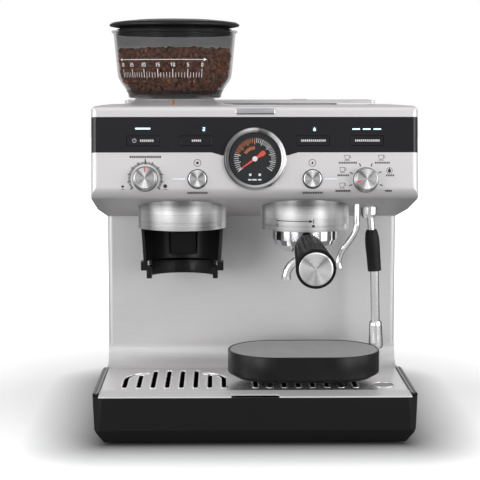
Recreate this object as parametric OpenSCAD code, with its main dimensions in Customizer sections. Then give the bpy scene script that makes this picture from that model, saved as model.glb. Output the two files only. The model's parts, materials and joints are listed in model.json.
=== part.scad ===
// Espresso machine with a built-in grinder. Millimetres, +Z up, front towards -Y.
// The origin is on the table, under the middle of the machine's outer box.

/* [Body] */
// Width of the head, the widest part of the machine
head_w = 328; // [327:0.5:329]
// Width of the body under the head
body_w = 316; // [314:1:318]
// Distance of the back wall behind the origin
back_y = 192; // [191:0.5:193]
// Distance of the upright front panel behind the origin
column_y = 32; // [31:0.5:33]
// Height of the joint between the body and the head
shoulder_z = 216; // [215:0.5:217]
// Height of the head's top at its front edge
head_top_z = 338.5; // [338:0.5:339.5]
// How far the head's top falls towards the back
head_fall = 3.5; // [3:0.5:4]
// Angle by which the control panel leans back
panel_lean = 8; // [7.5:0.5:8.5]
// Thickness of the sheet covers
wall = 2.5; // [2.3:0.1:2.6]

/* [Drip tray] */
// Width of the drip bin at its rim
tray_w = 326; // [325:0.5:326]
// Distance of the bin's front in front of the origin
tray_front_y = -130; // [-131:0.5:-129]
// Height of the bin's rim
tray_top_z = 50; // [49.5:0.5:50]
// Distance between neighbouring slots
slot_pitch = 14.6; // [14.4:0.1:14.8]
// Width of a slot
slot_w = 6.4; // [5:0.1:7]

/* [Cup platform] */
// Radius of the platform's round ends
platform_r = 49; // [48:0.5:49]
// Distance between the centres of the round ends
platform_span = 60; // [58:0.5:60]
// Height of the platform's top
platform_top_z = 85.5; // [84:0.5:86]

/* [Bean hopper] */
// Radius of the bowl just under its rim
bowl_r = 63.8; // [63:0.1:64]
// Height of the lid's top
hopper_top_z = 429.5; // [429:0.5:431]

/* [Brew group and grinder outlet] */
// Radius of the brew group's collar
group_r = 46; // [45.5:0.1:46.3]
// Radius of the grinder outlet's collar
outlet_r = 46.3; // [46:0.1:46.6]
// Radius of the portafilter's rim
rim_r = 33.7; // [33.5:0.1:33.8]

/* [Controls] */
// Radius of the pressure gauge's bezel
gauge_r = 31.3; // [31:0.1:31.6]
// Radius of a rotary knob's skirt
knob_r = 12; // [11.5:0.1:12.2]
// Radius of a round push button
round_button_r = 8.9; // [8.5:0.1:9]
// Gap around a push button
button_gap = 0.3; // [0.25:0.05:0.4]

/* [Hidden] */

$fn = 96;
BIG = 500;                    // larger than any piece, for cutting blocks
STEEL = [0.78, 0.77, 0.78];
BLACK = [0.13, 0.13, 0.13];
CHROME = [0.86, 0.86, 0.88];

// Places that several pieces share
base_z = 3;                   // underside of the base plate, on the feet
floor_z = 6;                  // top of the base plate
toe_y = 10;                   // foot of the upright panel, behind the drip tray
back_corner_r = 14;           // upright corners at the back
toe_r = 22;                   // radius of the sweep from the tray up to the upright panel
plate_top_z = tray_top_z + 1.5;
panel_y = -98;                // a point of the control panel's plane
panel_z = 271.5;
panel_depth = 10;             // how far the panel's pieces wrap round the head's sides
under_z = 247.5;              // height where the panel's plane meets the sloping underside
hopper_at = [-83.5, 32];
outlet_at = [-74.6, -33];
group_at = [53.8, -38];
platform_at = [52, -56];
collar_bore_r = 36;
neck_r = 35.7;
handle_z = 199.5;
handle_droop = 4.6;           // degrees below level
handle_yaw = 0.6;
handle_end = 153;             // length from the bowl's axis
spout_r = 19.2;               // half the distance between the two spout tips
wand_at = [122.7, -26];
wand_lean = 5;                // degrees, its foot away from the middle
wand_bend = 3.4;              // degrees, back towards upright under the grip
wand_bend_at = 70.4;          // distance of that bend from the ball
wand_pivot_z = 233;
pipe_r = 4.6;
float_at = [133, -78];
gauge_v = 14.4;               // heights up the leaning panel, from panel_z
band_v = [21, 56.6];
switch_v = 32.5;
lamp_v = 44.9;
button_v = -5.8;
dose_knob_at = [-109.5, -5.4];
mode_knob_at = [111, -6.6];
switch_x = [-112, -58.5, 58.5, 112.5];
switch_size = [31.5, 9.2];
tank_x = 100;
tank_y = [118, 181];
lid_x = 143;
lid_y = [108, 186];
lid_gap = 0.3;

// ---- Outlines ----

function unit(v) = v / norm(v);

// A closed outline whose corners are arcs, each of its own radius.
function rounded(points, radii, steps = 8) = [
    for (i = [0 : len(points) - 1])
        let (n = len(points), p = points[i], r = radii[i],
            a = unit(points[(i + n - 1) % n] - p), b = unit(points[(i + 1) % n] - p),
            half = acos(a * b) / 2, turn = 180 - 2 * half,
            centre = p + unit(a + b) * (r / sin(half)),
            from = p + a * (r / tan(half)) - centre, to = p + b * (r / tan(half)) - centre)
        for (k = [0 : r > 0 ? steps : 0])
            r > 0 ? centre + (from * sin(turn * (1 - k / steps)) + to * sin(turn * k / steps)) / sin(turn)
                  : p
];

// Points along an arc.
function arc(centre, r, a0, a1, steps = 12) =
    [for (k = [0 : steps]) let (a = a0 + (a1 - a0) * k / steps) centre + r * [cos(a), sin(a)]];

module rounded_box(x0, x1, y0, y1, r_front, r_back) {
    polygon(rounded([[x0, y0], [x1, y0], [x1, y1], [x0, y1]], [r_front, r_front, r_back, r_back]));
}

module stadium(r) {
    square([platform_span, 2 * r], center = true);
    for (s = [-1, 1]) translate([s * platform_span / 2, 0]) circle(r);
}

// Stands a (y, z) outline up and runs it across the machine.
module across(width) {
    rotate([90, 0, 90]) linear_extrude(width, center = true) children();
}

// Stands an (x, z) outline up and runs it from the front to the back.
module front_to_back(y0, y1) {
    translate([0, y1, 0]) rotate([90, 0, 0]) linear_extrude(y1 - y0) children();
}

// Places children on the leaning panel: x across, y up the panel, z out of it.
module on_panel(x = 0, v = 0) {
    translate([0, panel_y, panel_z]) rotate([90 - panel_lean, 0, 0]) translate([x, v, 0]) children();
}

module ring(r_out, r_in, h) {
    difference() {
        cylinder(h = h, r = r_out);
        translate([0, 0, -1]) cylinder(h = h + 2, r = r_in);
    }
}

// A round tube swept along a list of points.
module swept_tube(path, r, sides = 12) {
    n = len(path);
    tangents = [for (i = [0 : n - 1]) unit(path[min(i + 1, n - 1)] - path[max(i - 1, 0)])];
    rings = [for (i = [0 : n - 1])
        let (u = unit(cross(tangents[i], [0, 1, 0])), v = cross(tangents[i], u))
        for (k = [0 : sides - 1]) path[i] + r * (u * cos(360 * k / sides) + v * sin(360 * k / sides))];
    sides_faces = [for (i = [0 : n - 2]) for (k = [0 : sides - 1])
        [i * sides + k, (i + 1) * sides + k, (i + 1) * sides + (k + 1) % sides, i * sides + (k + 1) % sides]];
    caps = [[for (k = [0 : sides - 1]) k], [for (k = [sides - 1 : -1 : 0]) (n - 1) * sides + k]];
    polyhedron(points = rings, faces = concat(sides_faces, caps));
}

// A smooth curve through a few points.
function smooth(points, steps = 6) = concat([
    for (i = [0 : len(points) - 2]) for (k = [0 : steps - 1])
        let (t = k / steps, p0 = points[max(i - 1, 0)], p1 = points[i], p2 = points[i + 1],
            p3 = points[min(i + 2, len(points) - 1)])
        0.5 * (2 * p1 + (p2 - p0) * t + (2 * p0 - 5 * p1 + 4 * p2 - p3) * t * t
            + (3 * p1 - p0 - 3 * p2 + p3) * t * t * t)
], [points[len(points) - 1]]);

// ---- Body ----

// The body's side view: a toe behind the drip tray, swept up into the upright front.
module body_side(t) {
    sweep = toe_r + t;
    start = t > 0 ? -acos(t / sweep) : -90;
    polygon(concat(
        [[back_y - t, floor_z - t], [toe_y + t, floor_z - t]],
        arc([toe_y, plate_top_z + toe_r], sweep, start, 0),
        [[column_y + t, shoulder_z + t], [back_y - t, shoulder_z + t]]
    ));
}

// The body under the head. Its upright front has rounded corners, and its toe square ones.
module body_shell() {
    half = body_w / 2;
    toe_top = plate_top_z + toe_r;
    difference() {
        intersection() {
            across(body_w) body_side(0);
            union() {
                linear_extrude(toe_top) rounded_box(-half, half, toe_y, back_y, 0, back_corner_r);
                translate([0, 0, toe_top]) linear_extrude(BIG)
                    rounded_box(-half, half, column_y, back_y, 5, back_corner_r);
            }
        }
        intersection() {
            across(body_w - 2 * wall) body_side(wall);
            linear_extrude(BIG) rounded_box(-half + wall, half - wall, toe_y, back_y - wall,
                0, back_corner_r - wall);
        }
    }
}

module front_zone() {
    translate([-BIG / 2, 0, tray_top_z]) cube([BIG, column_y + 8, BIG]);
}

module column_panel() {
    color(STEEL) intersection() {
        body_shell();
        front_zone();
    }
}

module rear_housing() {
    vents = 9;
    color(BLACK) difference() {
        body_shell();
        front_zone();
        for (i = [0 : vents - 1])
            translate([-100, back_y - 20, 60 + 9 * i]) cube([90, 40, 3.5]);
        translate([110, back_y - 10, 42]) cube([28.4, 40, 24.4], center = true);
    }
}

module base_pan() {
    color(BLACK) {
        translate([0, 0, base_z]) linear_extrude(floor_z - base_z) {
            rounded_box(-body_w / 2 + 1, body_w / 2 - 1, toe_y + 1, back_y - 1, 1, 13);
            translate([-147, tray_front_y + 18]) square([294, 150]);
        }
    }
}

module rubber_feet() {
    color(BLACK) for (x = [-125, 125], y = [-98, 165])
        translate([x, y, 0]) rotate_extrude()
            polygon([[0, 0], [9, 0], [10.5, 1], [11, base_z], [0, base_z]]);
}

// ---- Head ----

// Depth of the panel's plane at a height, moved inwards by t.
function panel_at(z, t = 0) = panel_y + (z - panel_z) * tan(panel_lean) + t / cos(panel_lean);
under_slope = (under_z - shoulder_z) / (panel_at(under_z) - column_y);
function under_at(y, t = 0) = shoulder_z + (y - column_y) * under_slope + t / cos(atan(under_slope));
// Where the underside and the panel meet, both moved inwards by t.
function under_corner(t) =
    let (z = (under_at(0, t) + panel_at(0, t) * under_slope) / (1 - under_slope * tan(panel_lean)))
    [panel_at(z, t), z];

module head_side(t) {
    top = head_top_z - t;
    polygon(t == 0
        ? rounded([[back_y, shoulder_z], [column_y, shoulder_z], under_corner(0),
            [panel_at(top), top], [back_y, top - head_fall]], [0, 0, 12, 7, 8])
        : rounded([[back_y - t, shoulder_z - 1], [column_y, shoulder_z - 1],
            [column_y, under_at(column_y, t)], under_corner(t),
            [panel_at(top, t), top], [back_y - t, top - head_fall]], [0, 0, 0, 12 - t, 7 - t, 8 - t]));
}

// The head's front view, moved inwards by t: its sides slope in to the body's width.
module shoulders(t, top, r) {
    half = head_w / 2 - t;
    foot = body_w / 2 - t;
    front_to_back(-BIG / 2, BIG / 2) polygon(rounded([[-foot, shoulder_z - 1], [foot, shoulder_z - 1],
        [foot, shoulder_z], [half, shoulder_z + 12], [half, top], [-half, top],
        [-half, shoulder_z + 12], [-foot, shoulder_z]], [0, 0, 0, 6, r, r, 6, 0]));
}

// The head's outer block: side view, rounded plan and rounded front view together.
module head_block() {
    half = head_w / 2;
    intersection() {
        across(head_w) head_side(0);
        on_panel() rotate([-90, 0, 0]) translate([0, 0, -BIG / 2]) linear_extrude(BIG)
            rounded_box(-half, half, 0, BIG, 6, 0);
        linear_extrude(BIG) rounded_box(-half, half, -BIG, back_y, 0, back_corner_r);
        shoulders(0, head_top_z, 6);
    }
}

module head_skin() {
    half = head_w / 2 - wall;
    difference() {
        head_block();
        intersection() {
            across(head_w - 2 * wall) head_side(wall);
            linear_extrude(BIG) rounded_box(-half, half, -BIG, back_y - wall, 0, back_corner_r - wall);
            shoulders(wall, BIG, 0);
        }
    }
}

// The two covers of the panel: all of its face between two heights, with its wrapped ends.
module panel_zone(v0, v1) {
    on_panel() translate([-BIG / 2, v0, -panel_depth]) cube([BIG, v1 - v0, panel_depth + 5]);
}

module band_outline() {
    dip = 3;
    polygon([[-BIG / 2, band_v[0]], [-43, band_v[0]], [-33, band_v[0] - dip], [33, band_v[0] - dip],
        [43, band_v[0]], [BIG / 2, band_v[0]], [BIG / 2, band_v[1]], [-BIG / 2, band_v[1]]]);
}

module band_zone() {
    on_panel() translate([0, 0, -panel_depth]) linear_extrude(panel_depth + 5) band_outline();
}

// The sloping underside with everything in front of the panel's inner plane and under the band.
module fascia_zone() {
    panel_zone(-60, band_v[0]);
    across(BIG) polygon([[column_y, shoulder_z - 5], [column_y, under_at(column_y, 6)],
        [panel_y + 8, under_at(panel_y + 8, 6)], [panel_y - 30, under_at(panel_y - 30, 6)],
        [panel_y - 30, shoulder_z - 5]]);
}

// Everything cut through the panel from the front.
module panel_holes() {
    on_panel(0, gauge_v) translate([0, 0, -20]) cylinder(h = 30, r = 28);
    for (x = switch_x) on_panel(x, switch_v)
        cube([switch_size[0] + 2 * button_gap, switch_size[1] + 2 * button_gap, 30], center = true);
    for (x = [-57.5, 57.5]) on_panel(x, button_v) translate([0, 0, -20])
        cylinder(h = 30, r = round_button_r + button_gap);
    for (p = [dose_knob_at, mode_knob_at]) on_panel(p[0], p[1]) translate([0, 0, -20])
        cylinder(h = 30, r = 3.05);
    lamp_outlines(0.15, 30);
}

module front_fascia() {
    color(STEEL) difference() {
        intersection() {
            head_skin();
            fascia_zone();
        }
        band_zone();
        panel_holes();
        translate([outlet_at[0], outlet_at[1], 200]) cylinder(h = 60, r = outlet_r - 3);
        translate([group_at[0], group_at[1], 200]) cylinder(h = 60, r = group_r - 2.4);
        translate([wand_at[0], wand_at[1], 200]) cylinder(h = 60, r = 9);
        translate([107, -50, 200]) cylinder(h = 60, r = 3.4);
    }
}

module control_band() {
    color([0.17, 0.17, 0.19]) difference() {
        intersection() {
            head_skin();
            band_zone();
        }
        panel_holes();
    }
}

module head_shell() {
    color(STEEL) difference() {
        head_skin();
        fascia_zone();
        band_zone();
        translate([hopper_at[0], hopper_at[1], 320]) cylinder(h = 40, r = 45.4);
        translate([-lid_x - lid_gap, lid_y[0] - lid_gap, 300])
            cube([2 * (lid_x + lid_gap), lid_y[1] - lid_y[0] + 2 * lid_gap, 80]);
    }
}

module badge_plate() {
    on_panel(0.5, 62.2) color(CHROME)
        linear_extrude(0.8) rounded_box(-19.5, 19.5, -3.3, 3.3, 1.5, 1.5);
}

// ---- Controls ----

// Windows of the lamps: two bars on the band, a digit cell, a drop cell and two bars on the fascia.
module lamp_outlines(grow, depth) {
    module cell(x, v, w, h) {
        on_panel(x, v) translate([0, 0, -depth / 2 + 0.2])
            cube([w + 2 * grow, h + 2 * grow, depth], center = true);
    }
    cell(-112, lamp_v, 15, 1.8);
    cell(-51, lamp_v - 0.8, 4.4, 6);
    cell(59.7, lamp_v - 0.4, 5, 5);
    for (i = [-1 : 1]) cell(112 + 10.6 * i, lamp_v - 0.6, 9, 1.6);
    for (x = [-76, 76]) cell(x, button_v + 0.3, 13.4, 1.7);
}

module indicator_lamps() {
    color([0.8, 0.95, 1]) lamp_outlines(0, 4);
}

module control_board() {
    color([0.1, 0.35, 0.2]) on_panel(0, 0) translate([0, 0, -15]) difference() {
        translate([-140, 24, 0]) cube([280, 28, 1.6]);
        translate([0, gauge_v, -1]) cylinder(h = 4, r = 30);
    }
}

module switch_cap(x) {
    color(BLACK) on_panel(x, switch_v) {
        translate([-switch_size[0] / 2, -switch_size[1] / 2, -4]) cube([switch_size[0], switch_size[1], 4.5]);
        translate([0, 0, -9]) cylinder(h = 5.5, r = 2);
    }
}

module power_button() { switch_cap(switch_x[0]); }
module cups_button() { switch_cap(switch_x[1]); }
module infusion_button() { switch_cap(switch_x[2]); }
module temperature_button() { switch_cap(switch_x[3]); }

module round_cap(x) {
    r = round_button_r;
    color(CHROME) on_panel(x, button_v) {
        rotate_extrude() polygon([[0, -5], [r, -5], [r, 2.6], [r - 0.7, 3.4], [0, 3.8]]);
        translate([0, 0, -9]) cylinder(h = 5, r = 2.5);
    }
}

module grind_button() { round_cap(-57.5); }
module brew_button() { round_cap(57.5); }

module knob(at) {
    r = knob_r;
    color(CHROME) on_panel(at[0], at[1]) {
        rotate_extrude() polygon([[0, 0.5], [r, 0.5], [r, 2.6], [r - 0.9, 3.4], [r - 1.2, 12.6],
            [r - 2, 13.4], [0, 13.9]]);
        translate([0, 0, -12]) cylinder(h = 13, r = 3);
    }
}

module dose_knob() { knob(dose_knob_at); }
module mode_knob() { knob(mode_knob_at); }

module gauge_case() {
    r = gauge_r;
    color(CHROME) on_panel(0, gauge_v) rotate_extrude() polygon(concat(
        [[0, -22], [27.5, -22], [27.5, 0.2], [r, 0.2], [r, 2.2]],
        arc([r - 3.2, 2.2], 3.2, 10, 110, 8),
        [[25.6, 4.2], [25.6, 4.05], [26.8, 4.05], [26.8, -19], [0, -19]]
    ));
}

module gauge_dial() {
    color(BLACK) on_panel(0, gauge_v) translate([0, 0, -0.2]) ring(26.6, 1.3, 1.2);
}

module gauge_needle() {
    color([0.8, 0.2, 0.15]) on_panel(0, gauge_v) rotate([0, 0, -55]) {
        translate([0, 0, 1.5]) linear_extrude(0.7) polygon([[-0.55, -20.5], [0.55, -20.5], [1.1, 0],
            [1.1, 4], [2.4, 9.6], [1.4, 11.6], [-1.4, 11.6], [-2.4, 9.6], [-1.1, 4], [-1.1, 0]]);
        translate([0, 0, 1.2]) cylinder(h = 1.4, r = 2.6);
        translate([0, 0, -3]) cylinder(h = 4.5, r = 1.25);
    }
}

module gauge_lens() {
    color([0.9, 0.95, 1, 0.3]) on_panel(0, gauge_v) translate([0, 0, 3.1]) cylinder(h = 0.9, r = 26.6);
}

// ---- Bean hopper and grinder ----

module at_hopper() {
    translate([hopper_at[0], hopper_at[1], 0]) children();
}

module hopper_collar() {
    color(STEEL) difference() {
        at_hopper() rotate_extrude() polygon(concat(
            [[collar_bore_r, 330], [63.6, 330], [63.6, 337.6]],
            [for (k = [0 : 12]) let (a = 90 * k / 12)
                [63.2 - 20.5 * sin(a), 344.2 - 6.4 * cos(a)]],
            [[collar_bore_r, 344.2]]
        ));
        head_block();
    }
}

module grinder_case() {
    color([0.55, 0.56, 0.58]) difference() {
        union() {
            at_hopper() translate([0, 0, 290]) cylinder(h = 42.5, r = 44);
            translate([-95, -33, 294]) cube([34, 40, 22]);
            translate([outlet_at[0], outlet_at[1], 246]) cylinder(h = 70, r = 15);
        }
        at_hopper() {
            translate([0, 0, 300]) cylinder(h = 50, r = collar_bore_r);
            translate([0, 0, 280]) cylinder(h = 40, r = 6);
        }
        translate([-91, -29, 301]) cube([26, 50, 11]);
        translate([outlet_at[0], outlet_at[1], 240]) cylinder(h = 72, r = 12);
    }
}

module grinder_motor() {
    color([0.35, 0.35, 0.37]) at_hopper() difference() {
        union() {
            translate([0, 0, 240]) cylinder(h = 46, r = 30);
            translate([0, 0, 286]) cylinder(h = 3.7, r = 12);
        }
        translate([0, 0, 262]) cylinder(h = 40, r = 4.05);
    }
}

module lower_burr() {
    color([0.6, 0.6, 0.62]) at_hopper() {
        rotate_extrude() polygon([[0, 301.5], [31, 301.5], [31, 305], [26, 309], [14, 314], [8, 322], [0, 324]]);
        translate([0, 0, 264]) cylinder(h = 38, r = 4);
    }
}

module upper_burr() {
    color([0.6, 0.6, 0.62]) at_hopper() rotate_extrude()
        polygon([[34, 309.5], [34, 318], [16, 318], [27.6, 309.5]]);
}

// The bowl turns to set the grind; its neck carries the upper burr.
module hopper_bowl() {
    t = 2.2;
    color([0.35, 0.33, 0.32, 0.45]) at_hopper() rotate_extrude() polygon([
        [neck_r, 318], [neck_r, 344.6], [48.5, 344.6], [50, 346.2], [50, 348.6], [52, 352.1], [60.7, 365.5],
        [bowl_r, 413.2], [bowl_r + 2, 414.6], [bowl_r + 2, 416.5], [bowl_r - t, 416.5], [60.7 - t, 366.2],
        [51, 353.2], [46, 349.6], [24, 346.2], [neck_r - 3, 341.6], [neck_r - 3, 318]
    ]);
}

module coffee_beans() {
    color([0.33, 0.2, 0.14]) at_hopper() rotate_extrude() polygon([
        [0, 343.4], [22, 346.8], [45, 350.2], [50, 353.6], [58, 366.6], [60.2, 396], [55, 398.5], [0, 400]
    ]);
}

module hopper_lid() {
    r = 69.9;
    color(BLACK) at_hopper() rotate_extrude() polygon(concat(
        [[0, 424.2], [56.6, 424.2], [56.6, 412], [59, 412], [59, 419.4], [r - 2.6, 419.4]],
        arc([r - 2.4, 421.9], 2.4, -80, 60, 6),
        [[r - 7, 425.6], [r - 13, 426.8], [r - 30, hopper_top_z - 0.8], [0, hopper_top_z]]
    ));
}

module lid_gasket() {
    color(BLACK) at_hopper() rotate_extrude() polygon([
        [59.05, 412.6], [60.9, 412.9], [60.9, 414], [60, 414.5], [60, 415.2], [60.9, 415.7], [60.9, 417.2],
        [60, 417.7], [59.05, 418]
    ]);
}

// A tube that hangs from the underside: cut off along the slope.
module hanging_tube(at, r_out, r_in, z) {
    difference() {
        translate([at[0], at[1], z]) ring(r_out, r_in, 60);
        across(BIG) polygon([[column_y + 40, under_at(column_y + 40)], [panel_y - 60, under_at(panel_y - 60)],
            [panel_y - 60, BIG], [column_y + 40, BIG]]);
    }
}

module grinder_collar() {
    color(CHROME) hanging_tube(outlet_at, outlet_r, outlet_r - 2.5, 211.2);
}

// A half-round cradle, open towards the user, that holds the portafilter under the outlet.
module dosing_cradle() {
    top = [43.3, 214];
    low = [40.8, 173.5];
    t = 2.6;
    color(BLACK) translate([outlet_at[0], outlet_at[1], 0]) {
        rotate([0, 0, -12]) rotate_extrude(angle = 204) polygon([[low[0] - t, low[1]], low,
            top, [top[0], 222], [top[0] - t, 222], [top[0] - t, top[1]]]);
        rotate([0, 0, 28]) rotate_extrude(angle = 124) polygon([[low[0] - 1 - t, 157.5], [low[0] - 1, 157.5],
            [low[0], 174], [low[0] - t, 174]]);
        for (s = [-1, 1]) {
            translate([s * 40 - 3.2, -9, 166]) cube([6.4, 14, 9]);
            translate([s * 34.6 - 2.6, -10, 157.8]) cube([5.2, 16, 12]);
        }
        translate([-13.4, 33.5, 178.5]) cube([26.8, 7, 23]);
        translate([0, 0, 214]) ring(43.4, 13.5, 3);
    }
}

// ---- Brew group ----

module group_collar() {
    color(CHROME) hanging_tube(group_at, group_r, group_r - 2.5, 210.5);
}

module group_head() {
    entry = -40;
    color([0.7, 0.68, 0.6]) translate([group_at[0], group_at[1], 0]) difference() {
        translate([0, 0, 212]) cylinder(h = 54, r = group_r - 2.6);
        translate([0, 0, 205]) cylinder(h = 23, r = rim_r + 0.6);
        translate([0, 0, 216]) cylinder(h = 6.4, r = 40.6);
        for (a = [0, 180]) rotate([0, 0, entry + a])
            translate([rim_r - 6, -8, 205]) cube([11.8, 16, 12]);
        translate([-60, -60, 229]) cube([120, 22, 60]);
    }
}

module group_seal() {
    color([0.6, 0.25, 0.2]) translate([group_at[0], group_at[1], 222.9]) ring(33.6, 29.4, 5.1);
}

module shower_screen() {
    color(CHROME) translate([group_at[0], group_at[1], 226.2]) cylinder(h = 1.8, r = 28.6);
}

module at_group() {
    translate([group_at[0], group_at[1], 0]) children();
}

module portafilter_bowl() {
    color(CHROME) at_group() {
        difference() {
            union() {
                rotate_extrude() polygon([[0, 184], [9, 184], [22, 187], [31, 194], [33, 199.5],
                    [rim_r, 199.5], [rim_r, 221.6], [0, 221.6]]);
                for (a = [0, 180]) rotate([0, 0, a])
                    translate([rim_r - 4, -7, 217.2]) cube([10, 14, 4]);
            }
            rotate_extrude() polygon([[0, 188], [8, 188], [20, 191], [28, 197], [30.4, 203],
                [30.4, 225], [0, 225]]);
            // the lugs are ground round, to turn inside the groove
            translate([0, 0, 210]) ring(60, 39.9, 15);
            translate([0, 0, 180]) cylinder(h = 12, r = 4);
        }
        on_handle() translate([0, 0, 30]) cylinder(h = 20, r = 6);
    }
}

// The handle's axis, from the bowl's rim outwards and slightly down.
module on_handle() {
    translate([0, 0, handle_z]) rotate([90 + handle_droop, 0, handle_yaw]) children();
}

module filter_basket() {
    color(CHROME) at_group() rotate_extrude() polygon([[0, 204], [27.5, 204], [28.6, 206], [29.3, 221.7],
        [32.8, 221.7], [32.8, 222.4], [28.6, 222.4], [27.9, 206.4], [27, 204.8], [0, 204.8]]);
}

// The half ring of the twin spout.
module spout_arc(r) {
    translate([0, 0, 158]) rotate([90, 0, 0]) rotate_extrude(angle = 180) translate([spout_r, 0]) circle(r);
}

module portafilter_spout() {
    color(CHROME) at_group() difference() {
        union() {
            translate([0, 0, 173]) cylinder(h = 11, r = 7.5);
            spout_arc(4.4);
            for (s = [-1, 1]) translate([s * spout_r, 0, 155.8]) cylinder(h = 3.4, r = 4.8);
        }
        translate([0, 0, 176]) cylinder(h = 20, r = 3.4);
        spout_arc(3);
        for (s = [-1, 1]) translate([s * spout_r, 0, 155]) cylinder(h = 4, r = 3.2);
    }
}

module portafilter_handle() {
    flutes = 18;
    color(BLACK) at_group() on_handle() difference() {
        rotate_extrude() polygon([[0, 50.1], [6.1, 50.1], [6.1, 38.5], [9.6, 38.5], [11.6, 40.5],
            [13, 45], [13.8, 52], [14.5, 62], [15.6, 84], [18, handle_end - 10], [19.2, handle_end - 3],
            [18.6, handle_end], [16.9, handle_end], [16.5, handle_end - 1.6], [0, handle_end - 1.6]]);
        for (i = [0 : flutes - 1]) rotate([0, 0, 360 * i / flutes])
            translate([14.9, 0, 60]) rotate([0, 2.2, 0]) cylinder(h = 40, r = 0.9);
    }
}

module handle_cap() {
    color(CHROME) at_group() on_handle() translate([0, 0, handle_end - 1.6]) cylinder(h = 1.4, r = 16.2);
}

// ---- Water and steam outlets ----

module hot_water_spout() {
    path = smooth([[107, -50, 245], [107, -50, 224], [106.4, -50, 210], [100, -50, 198.5],
        [91.6, -50, 186.4], [88.4, -50, 176], [89.4, -50, 169.5]]);
    color(CHROME) swept_tube(path, 3);
}

module at_wand() {
    translate([wand_at[0], wand_at[1], 0]) children();
}

// Along the wand from its pivot: z is the distance down the pipe.
module on_wand() {
    at_wand() translate([0, 0, wand_pivot_z]) rotate([180, -wand_lean, 0]) children();
}

module wand_collar() {
    color(CHROME) at_wand() difference() {
        union() {
            translate([0, 0, 224]) cylinder(h = 20, r = 8.6);
            translate([0, 0, 220]) cylinder(h = 4, r1 = 6.8, r2 = 8.6);
        }
        translate([0, 0, wand_pivot_z]) sphere(r = 6.6);
        translate([0, 0, 210]) cylinder(h = 22, r = 4.6);
        // the side slot that the pipe swings out through
        translate([0, -4.6, 215]) cube([20, 9.2, 18]);
        translate([0, 0, 234]) cylinder(h = 20, r = 5);
    }
}

// The wand's straight lower part, from the bend downwards.
module on_lower_wand() {
    on_wand() translate([0, 0, wand_bend_at]) rotate([0, -wand_bend, 0]) children();
}

module wand_pipe() {
    color(CHROME) difference() {
        union() {
            on_wand() sphere(r = 6.3);
            on_wand() cylinder(h = 27, r = 3.6);
            on_wand() translate([0, 0, 26]) cylinder(h = wand_bend_at - 26, r = pipe_r);
            on_lower_wand() translate([0, 0, -0.4]) cylinder(h = 58, r = pipe_r);
        }
        on_wand() translate([0, 0, 10]) cylinder(h = wand_bend_at - 10, r = 2);
        on_lower_wand() translate([0, 0, -0.6]) cylinder(h = 60, r = 2);
    }
}

module wand_grip() {
    color(BLACK) on_wand() rotate_extrude() polygon([[pipe_r + 0.05, 26], [5.2, 26],
        [6.6, 29.5], [7.5, 35], [7.7, 42], [7.3, 58], [7.1, 70], [pipe_r + 0.05, 70]]);
}

module wand_nozzle() {
    color(CHROME) on_lower_wand() rotate_extrude() polygon([[pipe_r + 0.05, 53.6], [5.6, 53.6],
        [6.4, 55.1], [6.7, 57.8], [7.5, 78.6], [7.5, 81.1], [6.5, 82.6], [0.8, 82.6], [0.8, 57.8],
        [pipe_r + 0.05, 57.8]]);
}

// ---- Drip tray ----

module bin_plan() {
    rounded_box(-tray_w / 2, tray_w / 2, tray_front_y, toe_y - 0.4, 12, 3);
}

module drip_bin() {
    half = tray_w / 2;
    f = tray_front_y;
    t = 3;
    color(BLACK) difference() {
        intersection() {
            linear_extrude(tray_top_z) bin_plan();
            front_to_back(-BIG, BIG) polygon([[-half, tray_top_z + 1], [-half + 2, 17], [-half + 11, 2.5],
                [half - 11, 2.5], [half - 2, 17], [half, tray_top_z + 1]]);
            across(BIG) polygon([[f, tray_top_z + 1], [f + 1, 17], [f + 11, 2.5], [toe_y, 2.5],
                [toe_y, tray_top_z + 1]]);
        }
        intersection() {
            translate([0, 0, 9]) linear_extrude(BIG)
                rounded_box(-half + t, half - t, f + t, toe_y - 0.4 - t, 9, 2);
            front_to_back(-BIG, BIG) polygon([[-half + t, tray_top_z + 2], [-half + t + 2, 17],
                [-half + t + 9, 8], [half - t - 9, 8], [half - t - 2, 17], [half - t, tray_top_z + 2]]);
            across(BIG) polygon([[f + t, tray_top_z + 2], [f + t + 1, 17], [f + t + 8, 8], [toe_y, 8],
                [toe_y, tray_top_z + 2]]);
        }
        translate([-148.5, f + 16.5, 0]) cube([297, BIG, 6.5]);
    }
}

// The grooved rails along the bin's sides, cut off slantwise at the back.
module tray_rails() {
    edge = tray_w / 2 - 0.2;
    inner = edge - 5.9;
    color(BLACK) for (s = [0, 1]) mirror([s, 0, 0]) translate([0, 0, tray_top_z]) intersection() {
        front_to_back(tray_front_y + 9, toe_y - 1) polygon([[inner, 0], [edge, 0], [edge, 2], [edge - 1.2, 3.2],
            [edge - 2.4, 3.2], [edge - 2.9, 2.2], [edge - 3.9, 2.2], [edge - 4.4, 3.2], [inner, 3.2]]);
        linear_extrude(BIG) polygon([[inner - 1, tray_front_y], [edge + 1, tray_front_y], [edge + 1, toe_y - 16],
            [edge - 3, toe_y], [inner - 1, toe_y]]);
    }
}

// A slot's outline between two depths, with round ends.
module slot(x, y0, y1) {
    translate([x - slot_w / 2, y0 + slot_w / 2]) square([slot_w, y1 - y0 - slot_w]);
    for (y = [y0 + slot_w / 2, y1 - slot_w / 2]) translate([x, y]) circle(slot_w / 2, $fn = 32);
}

// A slot that turns towards the middle of its group at its back end.
module turned_slot(x, y0, y1, side) {
    r = 30;
    half = slot_w / 2;
    end = 110;
    tip = [r, 0] + r * [cos(end), sin(end)];
    translate([x, y1]) mirror([side < 0 ? 1 : 0, 0]) polygon(concat(
        arc([r, 0], r + half, 180, end), arc(tip, half, end - 20, end - 160, 6),
        arc([r, 0], r - half, end, 180), arc([0, y0 + half - y1], half, 0, -180)));
}

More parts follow.
